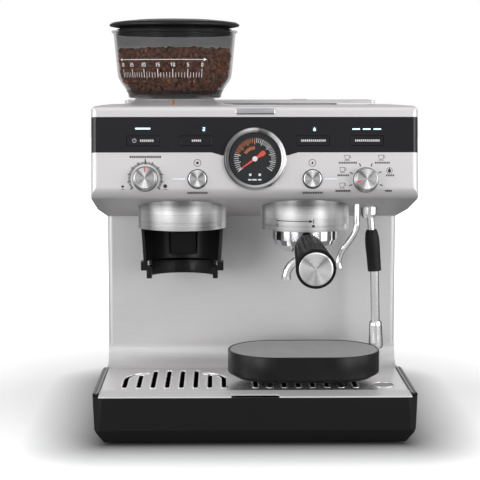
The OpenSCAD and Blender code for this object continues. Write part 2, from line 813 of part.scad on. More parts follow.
module slot_group(x0) {
    front = -91;
    for (i = [0 : 7]) let (x = x0 + slot_pitch * i) {
        if (i == 0) turned_slot(x, front, -48, 1);
        else if (i == 7) turned_slot(x, front, -48, -1);
        else slot(x, front, (i == 1 || i == 6) ? -27 : -6);
    }
}

module tray_plate() {
    half = 156.5;
    lip_y = tray_front_y + 0.5;
    color(STEEL) difference() {
        across(2 * half) polygon(rounded([[lip_y, tray_top_z], [toe_y - 0.6, tray_top_z],
            [toe_y - 0.6, plate_top_z], [-103.5, plate_top_z], [-104.6, plate_top_z + 0.8],
            [lip_y, plate_top_z - 0.2]], [0, 0, 0, 0, 0.6, 0.9]));
        translate([0, 0, tray_top_z - 20]) {
            linear_extrude(60) slot_group(-133.3);
            linear_extrude(60) slot_group(1.5);
            translate(float_at) cylinder(h = 60, r = 11);
        }
        linear_extrude(BIG) rounded_box(-24, 24, tray_front_y - 10, tray_front_y + 10.5, 0, 4);
    }
}

module drip_float() {
    color([0.8, 0.25, 0.2]) translate([float_at[0], float_at[1], 0]) {
        translate([0, 0, 47]) cylinder(h = 4, r = 10.6);
        translate([0, 0, 30]) cylinder(h = 17.5, r = 8);
    }
}

module cup_platform() {
    top = platform_top_z;
    wall_z = 62.3;
    foot_z = 58;
    chamfer = 7;
    r = platform_r;
    color(BLACK) translate([platform_at[0], platform_at[1], 0]) difference() {
        union() {
            translate([0, 0, wall_z]) linear_extrude(top - wall_z) stadium(r);
            for (s = [-1, 1]) translate([s * platform_span / 2, 0, foot_z])
                cylinder(h = wall_z - foot_z, r1 = r - chamfer, r2 = r);
            rotate([90, 0, 90]) linear_extrude(platform_span, center = true)
                polygon([[-r + chamfer, foot_z], [r - chamfer, foot_z], [r, wall_z], [-r, wall_z]]);
            for (x = [-55, 55], y = [-22, 22]) translate([x * 0.7, y, plate_top_z + 0.1])
                cylinder(h = 12, r = 6);
        }
        translate([0, 0, top - 1.6]) linear_extrude(5) stadium(r - 2.4);
        difference() {
            translate([0, 0, foot_z - 1]) linear_extrude(top - 4.5 - foot_z) stadium(r - 13);
            for (x = [-55, 55], y = [-22, 22]) translate([x * 0.7, y, 50]) cylinder(h = 60, r = 6);
        }
    }
}

module platform_mat() {
    color([0.42, 0.42, 0.43]) translate([platform_at[0], platform_at[1], platform_top_z - 1.6])
        linear_extrude(1.2) stadium(platform_r - 2.5);
}

// ---- Water tank and inner works ----

module water_tank() {
    t = 2;
    color([0.6, 0.65, 0.7, 0.4]) difference() {
        translate([0, 0, 130]) linear_extrude(198)
            rounded_box(-tank_x, tank_x, tank_y[0], tank_y[1], 10, 10);
        translate([0, 0, 130 + t]) linear_extrude(BIG)
            rounded_box(-tank_x + t, tank_x - t, tank_y[0] + t, tank_y[1] - t, 8, 8);
    }
}

module tank_lid() {
    color(STEEL) {
        translate([0, 0, 337.2]) linear_extrude(3.3)
            rounded_box(-lid_x, lid_x, lid_y[0], lid_y[1] - 0.1, 5, 5);
        // hinge barrels round the axis that the lid turns on
        for (x = [-60, 60]) translate([x - 9, lid_y[1] - 5, 339]) rotate([0, 90, 0]) cylinder(h = 18, r = 2.2);
        translate([0, 0, 328.3]) linear_extrude(9) difference() {
            rounded_box(-tank_x, tank_x, tank_y[0], tank_y[1] - 7, 10, 8);
            rounded_box(-tank_x + 2, tank_x - 2, tank_y[0] + 2, tank_y[1] - 9, 8, 6);
        }
    }
}

module boiler() {
    color(CHROME) translate([60, 78, 0]) {
        translate([0, 0, 96]) cylinder(h = 100, r = 30);
        translate([0, 0, 92]) ring(36, 12, 4);
        translate([0, 0, 196]) cylinder(h = 12, r = 9);
    }
}

module pump() {
    color([0.25, 0.27, 0.3]) {
        translate([-75, 84, 40]) rotate([0, 90, 0]) cylinder(h = 70, r = 22);
        translate([-90, 66, floor_z]) cube([60, 36, 16]);
        translate([-5, 84, 40]) rotate([0, 90, 0]) cylinder(h = 20, r = 9);
    }
}

module brew_valve() {
    color([0.75, 0.62, 0.3]) {
        translate([8, 60, 150]) cube([20, 34, 34]);
        translate([18, 77, 184]) cylinder(h = 20, r = 8);
    }
}

// The mains inlet in the back: a recessed socket with three pins.
module power_inlet() {
    color(BLACK) {
        difference() {
            translate([110, back_y - 12, 42]) cube([28, 24, 24], center = true);
            translate([110, back_y, 42]) cube([24, 26, 16], center = true);
        }
        for (p = [[-7, 40.5], [0, 44.5], [7, 40.5]])
            translate([110 + p[0] - 1, back_y - 13, p[1] - 2]) cube([2, 10, 4]);
    }
}

base_pan();
rubber_feet();
rear_housing();
column_panel();
head_shell();
front_fascia();
control_band();
hopper_collar();
grinder_case();
grinder_motor();
lower_burr();
upper_burr();
hopper_bowl();
coffee_beans();
hopper_lid();
lid_gasket();
grinder_collar();
dosing_cradle();
group_collar();
group_head();
group_seal();
shower_screen();
portafilter_bowl();
filter_basket();
portafilter_spout();
portafilter_handle();
handle_cap();
hot_water_spout();
wand_collar();
wand_pipe();
wand_grip();
wand_nozzle();
gauge_case();
gauge_dial();
gauge_needle();
gauge_lens();
power_button();
cups_button();
infusion_button();
temperature_button();
grind_button();
brew_button();
dose_knob();
mode_knob();
indicator_lamps();
control_board();
drip_bin();
tray_rails();
tray_plate();
drip_float();
cup_platform();
platform_mat();
water_tank();
tank_lid();
boiler();
pump();
brew_valve();
power_inlet();
badge_plate();
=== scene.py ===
"""The looks of the espresso machine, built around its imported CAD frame.

Sizes are in millimetres where a name or a comment says so, and MM turns them into Blender's metres.
"""
import json
import math
import random

import bmesh
import bpy
from mathutils import Matrix, Vector


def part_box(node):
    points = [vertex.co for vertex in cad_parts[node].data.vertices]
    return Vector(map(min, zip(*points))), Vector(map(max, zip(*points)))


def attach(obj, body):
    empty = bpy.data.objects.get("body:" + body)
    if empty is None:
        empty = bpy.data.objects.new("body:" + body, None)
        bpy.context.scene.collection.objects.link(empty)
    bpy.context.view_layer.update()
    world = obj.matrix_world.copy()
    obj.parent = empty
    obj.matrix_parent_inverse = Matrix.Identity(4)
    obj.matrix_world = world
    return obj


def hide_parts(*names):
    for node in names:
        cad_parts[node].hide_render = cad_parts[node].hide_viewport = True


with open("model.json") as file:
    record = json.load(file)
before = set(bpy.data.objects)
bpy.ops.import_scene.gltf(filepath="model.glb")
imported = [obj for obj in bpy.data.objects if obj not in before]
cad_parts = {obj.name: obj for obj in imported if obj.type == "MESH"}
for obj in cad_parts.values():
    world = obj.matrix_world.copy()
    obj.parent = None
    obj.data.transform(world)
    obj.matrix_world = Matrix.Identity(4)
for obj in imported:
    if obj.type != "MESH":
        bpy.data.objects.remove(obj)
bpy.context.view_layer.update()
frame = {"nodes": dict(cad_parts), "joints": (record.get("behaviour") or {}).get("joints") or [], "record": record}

MM = 0.001
NODES = frame["nodes"]
JOINTS = {joint["name"]: joint for joint in frame["joints"]}
BODY_OF = {node: body for body, nodes in frame["record"]["behaviour"]["bodies"].items() for node in nodes}
SLOT_OF = {part["node"]: part["material_slot"] for part in frame["record"]["subparts"]}
MATERIALS = {}  # every finish, by its name


def add_object(name, data):
    made = bpy.data.objects.new(name, data)
    bpy.context.scene.collection.objects.link(made)
    return made


def grey(tone):
    return (tone, tone, tone)


# -------- shader nodes

def connect(tree, socket, source):
    """Links a source to a socket, or sets the socket to a plain value."""
    if isinstance(source, bpy.types.NodeSocket):
        tree.links.new(source, socket)
    else:
        socket.default_value = (*source, 1) if socket.type == "RGBA" else source


def add_node(tree, kind, links=None, **settings):
    node = tree.nodes.new(kind)
    for key, value in settings.items():
        setattr(node, key, value)
    for socket, source in (links or {}).items():
        connect(tree, node.inputs[socket], source)
    return node


def fill_ramp(ramp, stops, blue=1.0):
    """Sets a colour ramp to (position, grey) stops, with their blue scaled."""
    elements = ramp.color_ramp.elements
    elements.remove(elements[1])
    for position, tone in stops:
        stop = elements[0] if position == 0.0 else elements.new(position)
        stop.position, stop.color = position, (tone, tone, tone * blue, 1)


class Shader:
    """One node material: a Principled surface and the textures that feed it."""

    def __init__(self, name, colour, **sockets):
        self.material = MATERIALS[name] = bpy.data.materials.new(name)
        self.material.use_nodes = True
        self.tree = self.material.node_tree
        self.surface = self.tree.nodes["Principled BSDF"]
        self.feed("Base Color", colour)
        for socket, value in sockets.items():
            self.feed(socket.replace("_", " "), value)
        self.place = self.add("ShaderNodeTexCoord").outputs["Object"]

    def feed(self, socket, source):
        connect(self.tree, self.surface.inputs[socket], source)

    def add(self, kind, links=None, **settings):
        return add_node(self.tree, kind, links, **settings)

    def noise(self, scale, stretch=(1, 1, 1), detail=4.0, place=None):
        mapped = self.add("ShaderNodeMapping", {"Vector": place or self.place, "Scale": stretch})
        return self.add("ShaderNodeTexNoise", {"Vector": mapped.outputs["Vector"], "Scale": scale,
                                               "Detail": detail}).outputs["Fac"]

    def brushed(self):
        """Fine grain that runs across the machine."""
        return self.noise(60, stretch=(0.6, 40, 40), detail=6)

    def ranged(self, factor, low, high, start=0.3, end=0.7):
        return self.add("ShaderNodeMapRange", {"Value": factor, "From Min": start, "From Max": end,
                                               "To Min": low, "To Max": high}).outputs["Result"]

    def math(self, operation, a, b=0.0):
        return self.add("ShaderNodeMath", {0: a, 1: b}, operation=operation).outputs["Value"]

    def hypotenuse(self, a, b):
        return self.math("SQRT", self.math("ADD", self.math("MULTIPLY", a, a), self.math("MULTIPLY", b, b)))

    def blend(self, factor, dark, light, **settings):
        return self.add("ShaderNodeMix", {0: factor, 6: dark, 7: light}, data_type="RGBA", **settings).outputs[2]

    def vary_colour(self, factor, dark, light):
        mixed = self.blend(self.ranged(factor, 0.0, 1.0), dark, light)
        self.feed("Base Color", mixed)
        return mixed

    def vary_roughness(self, factor, low, high):
        self.feed("Roughness", self.ranged(factor, low, high))

    def bump(self, factor, depth_mm):
        bump = self.add("ShaderNodeBump", {"Height": factor, "Distance": depth_mm * MM, "Strength": 1.0})
        self.feed("Normal", bump.outputs["Normal"])


# -------- camera, light and floor

WALLS = ((0.0, 0.45), (0.1, 0.62), (0.22, 0.5), (0.36, 0.72), (0.5, 0.82), (0.62, 0.6), (0.74, 0.2), (0.93, 0.2),
         (0.965, 0.85), (1.0, 0.95))
FLOOR_GLOW = 0.22  # the floor's own light near the machine, which keeps its shadows soft
FOOT_HALF, FOOT_BACK = 0.15, 0.03  # metres: half the machine's footprint, and how far back its middle is
CONTACT_REACH = 0.09  # metres: a painted shadow darkens the floor this far out from the footprint


def make_camera():
    """A long lens in front of the machine, a little to its left and looking slightly down."""
    data = bpy.data.cameras.new("camera")
    data.lens = 105
    data.sensor_width = 36
    data.clip_end = 20
    camera = add_object("camera", data)
    camera.location = (-0.0362, -1.4946, 0.3676)
    camera.rotation_euler = (math.radians(83.342), 0, math.radians(-0.871))
    bpy.context.scene.camera = camera


def area_light(name, place, size, power, target=(0, 0, 0.2)):
    data = bpy.data.lights.new(name, "AREA")
    data.shape = "RECTANGLE"
    data.size, data.size_y = size
    data.energy = power
    light = add_object(name, data)
    light.location = place
    light.rotation_euler = (Vector(target) - Vector(place)).to_track_quat("-Z", "Y").to_euler()


def make_lights():
    area_light("above", (0.1, -0.5, 1.5), (1.4, 0.9), 2.4, (0, -0.05, 0.2))
    for x, side in ((-1.3, "left"), (1.3, "right")):
        area_light(side, (x, -0.5, 0.6), (0.7, 1.2), 5.5)
    for x, side in ((-1.3, "left"), (1.3, "right")):
        area_light("front_" + side, (x, -1.7, 0.45), (0.8, 0.9), 12.5)


def make_world():
    """A white studio. The camera sees pure white; the machine also sees darker walls, for its edges."""
    world = bpy.data.worlds.new("studio")
    bpy.context.scene.world = world
    world.use_nodes = True
    tree = world.node_tree
    place = add_node(tree, "ShaderNodeTexCoord").outputs["Generated"]
    depth = add_node(tree, "ShaderNodeSeparateXYZ", {"Vector": place}).outputs["Y"]
    shift = add_node(tree, "ShaderNodeMapRange", {"Value": depth, "From Min": -1})
    ramp = add_node(tree, "ShaderNodeValToRGB", {"Fac": shift.outputs["Result"]})
    fill_ramp(ramp, WALLS, 1.01)
    seen = add_node(tree, "ShaderNodeLightPath").outputs["Is Camera Ray"]
    mix = add_node(tree, "ShaderNodeMix", {0: seen, 6: ramp.outputs["Color"], 7: grey(1)}, data_type="RGBA")
    connect(tree, tree.nodes["Background"].inputs["Color"], mix.outputs[2])


def make_floor():
    """A white floor: a painted shadow darkens it close round the machine's foot, and it is lit by itself further
    out.
    """
    bpy.ops.mesh.primitive_plane_add(size=14, location=(0, 0, 0))
    floor = bpy.context.object
    floor.name = "floor"
    shade = Shader("floor_white", grey(0.95), Roughness=0.9, Specular_IOR_Level=0.0)
    shade.vary_roughness(shade.noise(3), 0.85, 0.95)
    seen = shade.add("ShaderNodeLightPath").outputs["Is Camera Ray"]
    split = shade.add("ShaderNodeSeparateXYZ", {"Vector": shade.place})
    from_middle = (split.outputs["X"], shade.math("SUBTRACT", split.outputs["Y"], FOOT_BACK))
    beyond = [shade.math("MAXIMUM", shade.math("SUBTRACT", shade.math("ABSOLUTE", way), FOOT_HALF), 0.0)
              for way in from_middle]
    # Painted shadow: the floor's colour and its own glow fade to dark towards the footprint.
    contact = shade.math("POWER", shade.ranged(shade.hypotenuse(*beyond), 0.0, 1.0, 0.0, CONTACT_REACH), 0.85)
    ground = shade.blend(contact, grey(0.12), grey(0.95))
    # Rays other than the camera's see a dark grey floor without glow, so little light bounces up under the
    # machine.
    shade.feed("Base Color", shade.blend(seen, grey(0.24), ground))
    away = shade.add("ShaderNodeVectorMath", {0: shade.place}, operation="LENGTH").outputs["Value"]
    glow = shade.math("MULTIPLY", shade.ranged(away, FLOOR_GLOW, 1.0, 0.3, 1.0),
                      shade.math("MULTIPLY", contact, seen))
    shade.feed("Emission Color", grey(1))
    shade.feed("Emission Strength", glow)
    floor.data.materials.append(shade.material)


# -------- materials

def mottled(name, base, colour, rough, grain=None, **sockets):
    """A finish that is a little uneven.

    colour is (scale, dark, light), rough is (scale, low, high) and grain is (scale, detail, depth in mm).
    """
    shade = Shader(name, base, **sockets)
    shade.vary_colour(shade.noise(colour[0]), *colour[1:])
    shade.vary_roughness(shade.noise(rough[0]), *rough[1:])
    if grain:
        scale, detail, depth_mm = grain
        shade.bump(shade.noise(scale, detail=detail), depth_mm)


def plain_paint(name, colour, rough=0.5, metallic=0.0, spread=0.12, grain=600, depth_mm=0.01, **sockets):
    """A finish with its colour a little uneven and a fine grain."""
    dark = tuple(c * (1 - spread) for c in colour)
    light = tuple(min(1.0, c * (1 + spread)) for c in colour)
    mottled(name, colour, (grain, dark, light), (50, rough * 0.88, rough * 1.12), (grain * 2, 2, depth_mm),
            Metallic=metallic, **sockets)


def brushed_panel():
    """Satin stainless sheet with a faint grain across the machine."""
    shade = Shader("brushed_panel", (0.64, 0.62, 0.625), Metallic=0.6, Anisotropic=0.3)
    grain = shade.brushed()
    shade.vary_colour(grain, (0.67, 0.66, 0.665), (0.72, 0.71, 0.715))
    shade.vary_roughness(grain, 0.42, 0.48)
    shade.bump(grain, 0.0025)


def black_plastic():
    """Moulded black plastic with a fine spark-eroded texture, and a painted highlight that makes it a little
    lighter where it turns sharply.
    """
    shade = Shader("black_plastic", grey(0.009), Specular_IOR_Level=0.26)
    tone = shade.vary_colour(shade.noise(900), grey(0.0075), grey(0.0105))
    rounded = shade.add("ShaderNodeBevel", {"Radius": 0.5 * MM}, samples=4).outputs["Normal"]
    plain = shade.add("ShaderNodeNewGeometry").outputs["Normal"]
    dot = shade.add("ShaderNodeVectorMath", {0: rounded, 1: plain}, operation="DOT_PRODUCT").outputs["Value"]
    # Painted highlight: where the bevelled normal turns away from the face, the colour is mixed towards grey.
    shade.feed("Base Color", shade.blend(shade.ranged(dot, 0.04, 0.0, 0.75, 0.99), tone, grey(0.55)))
    shade.vary_roughness(shade.noise(40), 0.34, 0.42)
    shade.bump(shade.noise(2200, detail=2), 0.010)


def wand_chrome():
    """Chrome with a painted highlight, a glow towards whoever looks at it as under a wide lamp, and a painted dark
    reflection round its outline.
    """
    shade = Shader("wand_chrome", (0.84, 0.84, 0.86), Specular_IOR_Level=0.05)
    facing = shade.add("ShaderNodeLayerWeight", {"Blend": 0.5}).outputs["Facing"]
    bright = shade.blend(shade.noise(6), (0.82, 0.82, 0.84), (0.88, 0.88, 0.89))
    # Painted dark reflection: towards the outline the colour turns near black and stops being metal.
    rim = shade.ranged(facing, 0.0, 1.0, 0.4, 0.6)
    shade.feed("Base Color", shade.blend(rim, bright, grey(0.02)))
    shade.feed("Metallic", shade.math("SUBTRACT", 1.0, rim))
    shade.vary_roughness(shade.noise(45), 0.1, 0.16)
    # Painted highlight: an emitted glow, strongest where the surface faces the viewer.
    shade.feed("Emission Color", grey(1))
    shade.feed("Emission Strength", shade.ranged(facing, 0.26, 0.0, 0.15, 0.45))


STRIP_BACK = -104.6  # mm: the tray plate's front strip ends here


def tray_metal():
    """Half-polished sheet with a satin strip along its front."""
    shade = Shader("tray_metal", (0.85, 0.84, 0.845), Metallic=1.0)
    across = shade.add("ShaderNodeSeparateXYZ", {"Vector": shade.place}).outputs["Y"]
    edge = STRIP_BACK * MM - NODES["tray_plate"].matrix_world.translation.y
    strip = shade.ranged(across, 1.0, 0.0, edge - 0.2 * MM, edge + 0.2 * MM)
    grain = shade.brushed()
    sheet = shade.blend(grain, (0.70, 0.69, 0.695), (0.76, 0.75, 0.755))
    shade.feed("Base Color", shade.blend(strip, sheet, (0.72, 0.715, 0.72)))
    shade.feed("Roughness", shade.math("ADD", 0.27, shade.math("MULTIPLY", strip, 0.15)))
    shade.feed("Metallic", shade.math("SUBTRACT", 0.85, shade.math("MULTIPLY", strip, 0.45)))
    shade.bump(grain, 0.0015)


# Painted sheen of turned metal: how bright its reflection is painted round a full turn, as (part of the turn,
# grey).
FACE_SHEEN = ((0.0, 0.75), (0.03, 1.0), (0.07, 0.7), (0.14, 0.62), (0.24, 1.0), (0.33, 0.75), (0.37, 0.22),
              (0.42, 0.62), (0.5, 0.78), (0.57, 0.6), (0.62, 0.25), (0.68, 0.72), (0.76, 1.0), (0.86, 0.62),
              (0.93, 0.68), (0.975, 1.0), (1.0, 0.75))
WALL_SHEEN = ((0.0, 0.5), (0.26, 0.9), (0.295, 0.35), (0.33, 0.85), (0.375, 0.4), (0.42, 0.9), (0.5, 1.0),
              (0.55, 0.95), (0.58, 0.45), (0.605, 0.45), (0.64, 0.95), (0.67, 0.55), (0.7, 0.95), (0.74, 0.4),
              (1.0, 0.5))
CAP_SHEEN = ((0.0, 0.55), (0.05, 0.8), (0.1, 0.6), (0.2, 0.85), (0.3, 1.0), (0.36, 0.4), (0.41, 0.75), (0.5, 0.95),
             (0.57, 0.8), (0.62, 0.35), (0.68, 0.8), (0.78, 1.0), (0.88, 0.7), (0.93, 0.95), (1.0, 0.55))
BEZEL_SHEEN = ((0.0, 0.75), (0.1, 0.4), (0.2, 0.12), (0.3, 0.12), (0.4, 0.35), (0.47, 0.9), (0.51, 0.7),
               (0.525, 0.2), (0.57, 0.25), (0.6, 0.85), (0.75, 1.0), (0.88, 0.8), (1.0, 0.75))


def spun_metal(name, sheen, rings_per_mm, front, anisotropic, glow=0.0, shadow=None):
    """Metal turned on a lathe: fine rings round its own Z axis, and a painted fan of highlights round the turn.

    front is 1 where the face is looked at and -1 for an upright wall. glow is how strongly the painted sheen
    glows.
    shadow is the height in mm where a painted shadow darkens the top: where it starts, and where it is full.
    """
    shade = Shader(name, (0.76, 0.76, 0.77), Metallic=1.0, Anisotropic=anisotropic)
    split = shade.add("ShaderNodeSeparateXYZ", {"Vector": shade.place})
    x, y, z = (split.outputs[axis] for axis in "XYZ")
    radius = shade.hypotenuse(x, y)
    rings = shade.math("SINE", shade.math("MULTIPLY", shade.math("ADD", radius, z),
                                          rings_per_mm * 2 * math.pi / MM))
    turn = shade.math("ARCTAN2", x, shade.math("MULTIPLY", y, front))
    # Painted sheen: the colour is set by the angle round the axis, from the sheen table.
    ramp = shade.add("ShaderNodeValToRGB", {"Fac": shade.ranged(turn, 0.0, 1.0, -math.pi, math.pi)})
    fill_ramp(ramp, sheen)
    lines = shade.add("ShaderNodeCombineXYZ", {"X": radius, "Y": z}).outputs["Vector"]
    grain = shade.noise(2600, place=lines, detail=2)
    tint = shade.blend(shade.ranged(grain, 0.0, 1.0), (0.9, 0.9, 0.91), grey(1.0))
    tone = shade.blend(1.0, ramp.outputs["Color"], tint, blend_type="MULTIPLY")
    # Painted shadow: the top turns dark grey.
    if shadow:
        tone = shade.blend(shade.ranged(z, 0.0, 1.0, shadow[0] * MM, shadow[1] * MM), tone, grey(0.22))
    shade.feed("Base Color", tone)
    # The painted sheen also glows.
    shade.feed("Emission Color", tone)
    shade.feed("Emission Strength", glow)
    shade.vary_roughness(grain, 0.26, 0.34)
    shade.bump(rings, 0.002 if front > 0 else 0.0006)
    tangent = shade.add("ShaderNodeTangent", direction_type="RADIAL", axis="Z")
    shade.feed("Tangent", tangent.outputs["Tangent"])


def roast_bean():
    """Medium roast: each bean its own brown, oily in patches, with a pale crease."""
    shade = Shader("roast_bean", (0.1, 0.04, 0.02), Specular_IOR_Level=0.3)
    patches = shade.noise(95, detail=2)
    tone = shade.blend(shade.ranged(patches, 0.0, 1.0), (0.19, 0.065, 0.032), (0.66, 0.27, 0.145))
    fibres = shade.noise(700, stretch=(1, 1, 3))
    shade.feed("Base Color", shade.blend(shade.ranged(fibres, 0.0, 0.35), tone, (0.95, 0.52, 0.32)))
    shade.vary_roughness(patches, 0.28, 0.5)
    shade.bump(shade.noise(900), 0.12)


def lamp_white():
    shade = Shader("lamp_white", (0.8, 0.95, 1.0), Roughness=0.4)
    shade.feed("Emission Color", (0.42, 0.86, 1.0))
    shade.feed("Emission Strength", 0.95)
    shade.vary_roughness(shade.noise(100), 0.35, 0.45)


def make_materials():
    mottled("silver_paint", (0.62, 0.60, 0.605), (2600, (0.66, 0.645, 0.65), (0.71, 0.695, 0.70)),
            (14, 0.42, 0.48), (1800, 2, 0.003), Metallic=0.45, Coat_Weight=0.1, Coat_Roughness=0.35)
    mottled("gloss_black", (0.014, 0.014, 0.017), (9, (0.012, 0.012, 0.015), (0.016, 0.016, 0.019)),
            (22, 0.10, 0.16), (35, 1, 0.02), Specular_IOR_Level=0.3)
    mottled("rubber_black", grey(0.009), (300, grey(0.008), grey(0.012)), (60, 0.5, 0.62), (1500, 3, 0.02),
            Specular_IOR_Level=0.28)
    mottled("chrome", (0.82, 0.82, 0.84), (6, (0.80, 0.80, 0.82), (0.86, 0.86, 0.87)), (45, 0.06, 0.11),
            (120, 2, 0.003), Metallic=1.0)
    mottled("clear_plastic", (0.5, 0.52, 0.55), (10, (0.2, 0.21, 0.22), (0.26, 0.27, 0.28)), (30, 0.03, 0.06),
            Alpha=0.05, Specular_IOR_Level=0.12)
    for name, alpha in (("smoked_plastic", 0.38), ("smoked_tint", 0.1), ("tank_plastic", 0.32)):
        mottled(name, (0.03, 0.029, 0.029), (12, (0.026, 0.025, 0.025), (0.036, 0.034, 0.034)),
                (30, 0.10, 0.16), Alpha=alpha, Specular_IOR_Level=0.07)
    for special in (brushed_panel, black_plastic, wand_chrome, tray_metal, roast_bean, lamp_white):
        special()
    spun_metal("spun_metal", FACE_SHEEN, 2.2, 1, 0.8)
    # The collars and caps glow with their painted sheen, and the collars' tops take a painted shadow under the
    # head.
    spun_metal("collar_metal", WALL_SHEEN, 1.4, -1, 0.4, 0.14, (229, 238))
    spun_metal("cap_metal", CAP_SHEEN, 2.2, 1, 0.6, 0.28)
    spun_metal("bezel_metal", BEZEL_SHEEN, 0.5, 1, 0.0)
    plain_paint("seal_red", (0.35, 0.05, 0.035), 0.6)
    plain_paint("dial_black", (0.009, 0.0095, 0.01), 0.5, Specular_IOR_Level=0.12)
    plain_paint("needle_red", (0.75, 0.07, 0.035), 0.35, spread=0.06)
    plain_paint("mat_grey", (0.36, 0.36, 0.365), 0.6, grain=1500, depth_mm=0.03)
    plain_paint("brass", (0.72, 0.55, 0.25), 0.3, metallic=1.0, spread=0.06)
    plain_paint("motor_grey", (0.1, 0.1, 0.11), 0.45)
    plain_paint("circuit_green", (0.02, 0.16, 0.06), 0.35)
    plain_paint("burr_steel", (0.5, 0.5, 0.52), 0.3, metallic=1.0, spread=0.08)
    plain_paint("print_black", grey(0.02), 0.5)
    plain_paint("print_white", grey(0.85), 0.5, spread=0.04)
    plain_paint("print_grey", (0.62, 0.62, 0.63), 0.5)
    plain_paint("print_orange", (0.75, 0.22, 0.05), 0.45, spread=0.06)
    plain_paint("print_frame", grey(0.001), 0.6, Specular_IOR_Level=0.0)
    # Lighter than the tray's metal: a painted highlight on the rolled edges, on top of the light they catch.
    plain_paint("edge_metal", (0.92, 0.91, 0.915), 0.25, metallic=0.8, spread=0.04, grain=300, depth_mm=0.004)
    # The painted shade that shows between the beans.
    plain_paint("bean_shadow", (0.11, 0.045, 0.026), 0.8)
    plain_paint("grip_black", grey(0.009), 0.6, grain=900, Specular_IOR_Level=0.09)
    plain_paint("lamp_soft", (0.85, 0.92, 0.95), 0.35)


# -------- building pieces

def new_piece(name, mesh, body, finish, matrix=Matrix(), slot=None, smooth_angle=35):
    """Links a mesh as a piece that rides on a body, with one of MATERIALS."""
    mesh.name = name
    for polygon in mesh.polygons:
        polygon.use_smooth = True
    mesh.set_sharp_from_angle(angle=math.radians(smooth_angle))
    mesh.materials.append(MATERIALS[finish])
    piece = add_object(name, mesh)
    piece.matrix_world = matrix
    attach(piece, body)
    return piece


def stand_in(name, mesh, node, finish=None, matrix=Matrix(), **settings):
    """A piece that is shown in place of one CAD node and rides on that node's body."""
    piece = new_piece(name, mesh, BODY_OF[node], finish or SLOT_OF[node], matrix, SLOT_OF[node], **settings)
    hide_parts(node)


def fix_normals(mesh):
    shape = bmesh.new()
    shape.from_mesh(mesh)
    bmesh.ops.recalc_face_normals(shape, faces=shape.faces)
    shape.to_mesh(mesh)
    shape.free()


def make_mesh(verts, faces, fix=True):
    """A mesh from points in millimetres, with its normals turned outwards."""
    mesh = bpy.data.meshes.new("piece")
    mesh.from_pydata([tuple(c * MM for c in vert) for vert in verts], [], faces)
    mesh.update()
    if fix:
        fix_normals(mesh)
    return mesh


def polar(r, degrees, x=0.0, y=0.0):
    """The point at a radius and an angle round (x, y). The angle is counted from +x, anticlockwise."""
    a = math.radians(degrees)
    return x + r * math.cos(a), y + r * math.sin(a)


def lathe(profile, turns=96):
    """Turns (radius, height) points in millimetres round Z. A radius of zero closes the end."""
    verts, faces, rows = [], [], []
    for r, z in profile:
        if r == 0:
            rows.append([len(verts)] * turns)
            verts.append((0, 0, z))
        else:
            rows.append(list(range(len(verts), len(verts) + turns)))
            verts += [(*polar(r, 360 * k / turns), z) for k in range(turns)]
    for low, high in zip(rows, rows[1:]):
        for k in range(turns):
            n = (k + 1) % turns
            corners = [low[k], low[n], high[n], high[k]]
            faces.append([c for i, c in enumerate(corners) if c not in corners[:i]])
    return make_mesh(verts, [face for face in faces if len(face) > 2], fix=False)


def rounded_profile(points, steps=4):
    """(radius, height, rounding) points to (radius, height) points, with the corners as arcs."""
    flat = [Vector(p[:2]) for p in points]
    out = []
    for i, point in enumerate(points):
        r = point[2] if len(point) > 2 else 0
        if not r or i in (0, len(points) - 1):
            out.append(tuple(flat[i]))
            continue
        back, ahead = flat[i - 1] - flat[i], flat[i + 1] - flat[i]
        reach = min(r / math.tan(back.angle(ahead) / 2), back.length * 0.49, ahead.length * 0.49)
        start, end = flat[i] + back.normalized() * reach, flat[i] + ahead.normalized() * reach
        for k in range(steps + 1):
            t = k / steps
            out.append(tuple(start * (1 - t) ** 2 + flat[i] * 2 * t * (1 - t) + end * t ** 2))
    return out


def ring_faces(rings, sides, closed=False):
    """Quads between rings of points: from the last ring to the first if closed, else with both ends capped."""
    faces = []
    for i in range(rings if closed else rings - 1):
        low, high = i * sides, (i + 1) % rings * sides
        for k in range(sides):
            n = (k + 1) % sides
            faces.append((low + k, low + n, high + n, high + k))
    if not closed:
        faces += [tuple(range(sides)), tuple(range((rings - 1) * sides, rings * sides))]
    return faces


def tube(points, radius, sides):
    """A round tube in millimetres along a list of points."""
    verts = []
    side = Vector((0, 1, 0))
    for i, point in enumerate(points):
        ahead = (points[min(i + 1, len(points) - 1)] - points[max(i - 1, 0)]).normalized()
        u = ahead.cross(side).normalized()
        side = u.cross(ahead).normalized()
        for k in range(sides):
            along_u, along_side = polar(radius, 360 * k / sides)
            verts.append(point + u * along_u + side * along_side)
    return make_mesh(verts, ring_faces(len(points), sides))


def smooth_path(points, steps=8):
    """A Catmull-Rom curve through a few points."""
    points = [Vector(p) for p in points]
    out = []
    for i in range(len(points) - 1):
        p0, p1, p2 = points[max(i - 1, 0)], points[i], points[i + 1]
        p3 = points[min(i + 2, len(points) - 1)]
        for k in range(steps):
            t = k / steps
            out.append(0.5 * (2 * p1 + (p2 - p0) * t + (2 * p0 - 5 * p1 + 4 * p2 - p3) * t ** 2
                              + (3 * p1 - p0 - 3 * p2 + p3) * t ** 3))
    return out + [points[-1]]


def slabs(outlines, thickness):
    """Flat closed outlines in millimetres, raised to thin slabs with their feet at height 0."""
    verts, faces = [], []
    for outline in outlines:
        low, n = len(verts), len(outline)
        verts += [(x, y, z) for z in (0, thickness) for x, y in outline]
        faces += [tuple(range(low + n, low + 2 * n)), tuple(reversed(range(low, low + n)))]
        faces += [(low + i, low + (i + 1) % n, low + n + (i + 1) % n, low + n + i) for i in range(n)]
    return make_mesh(verts, faces)


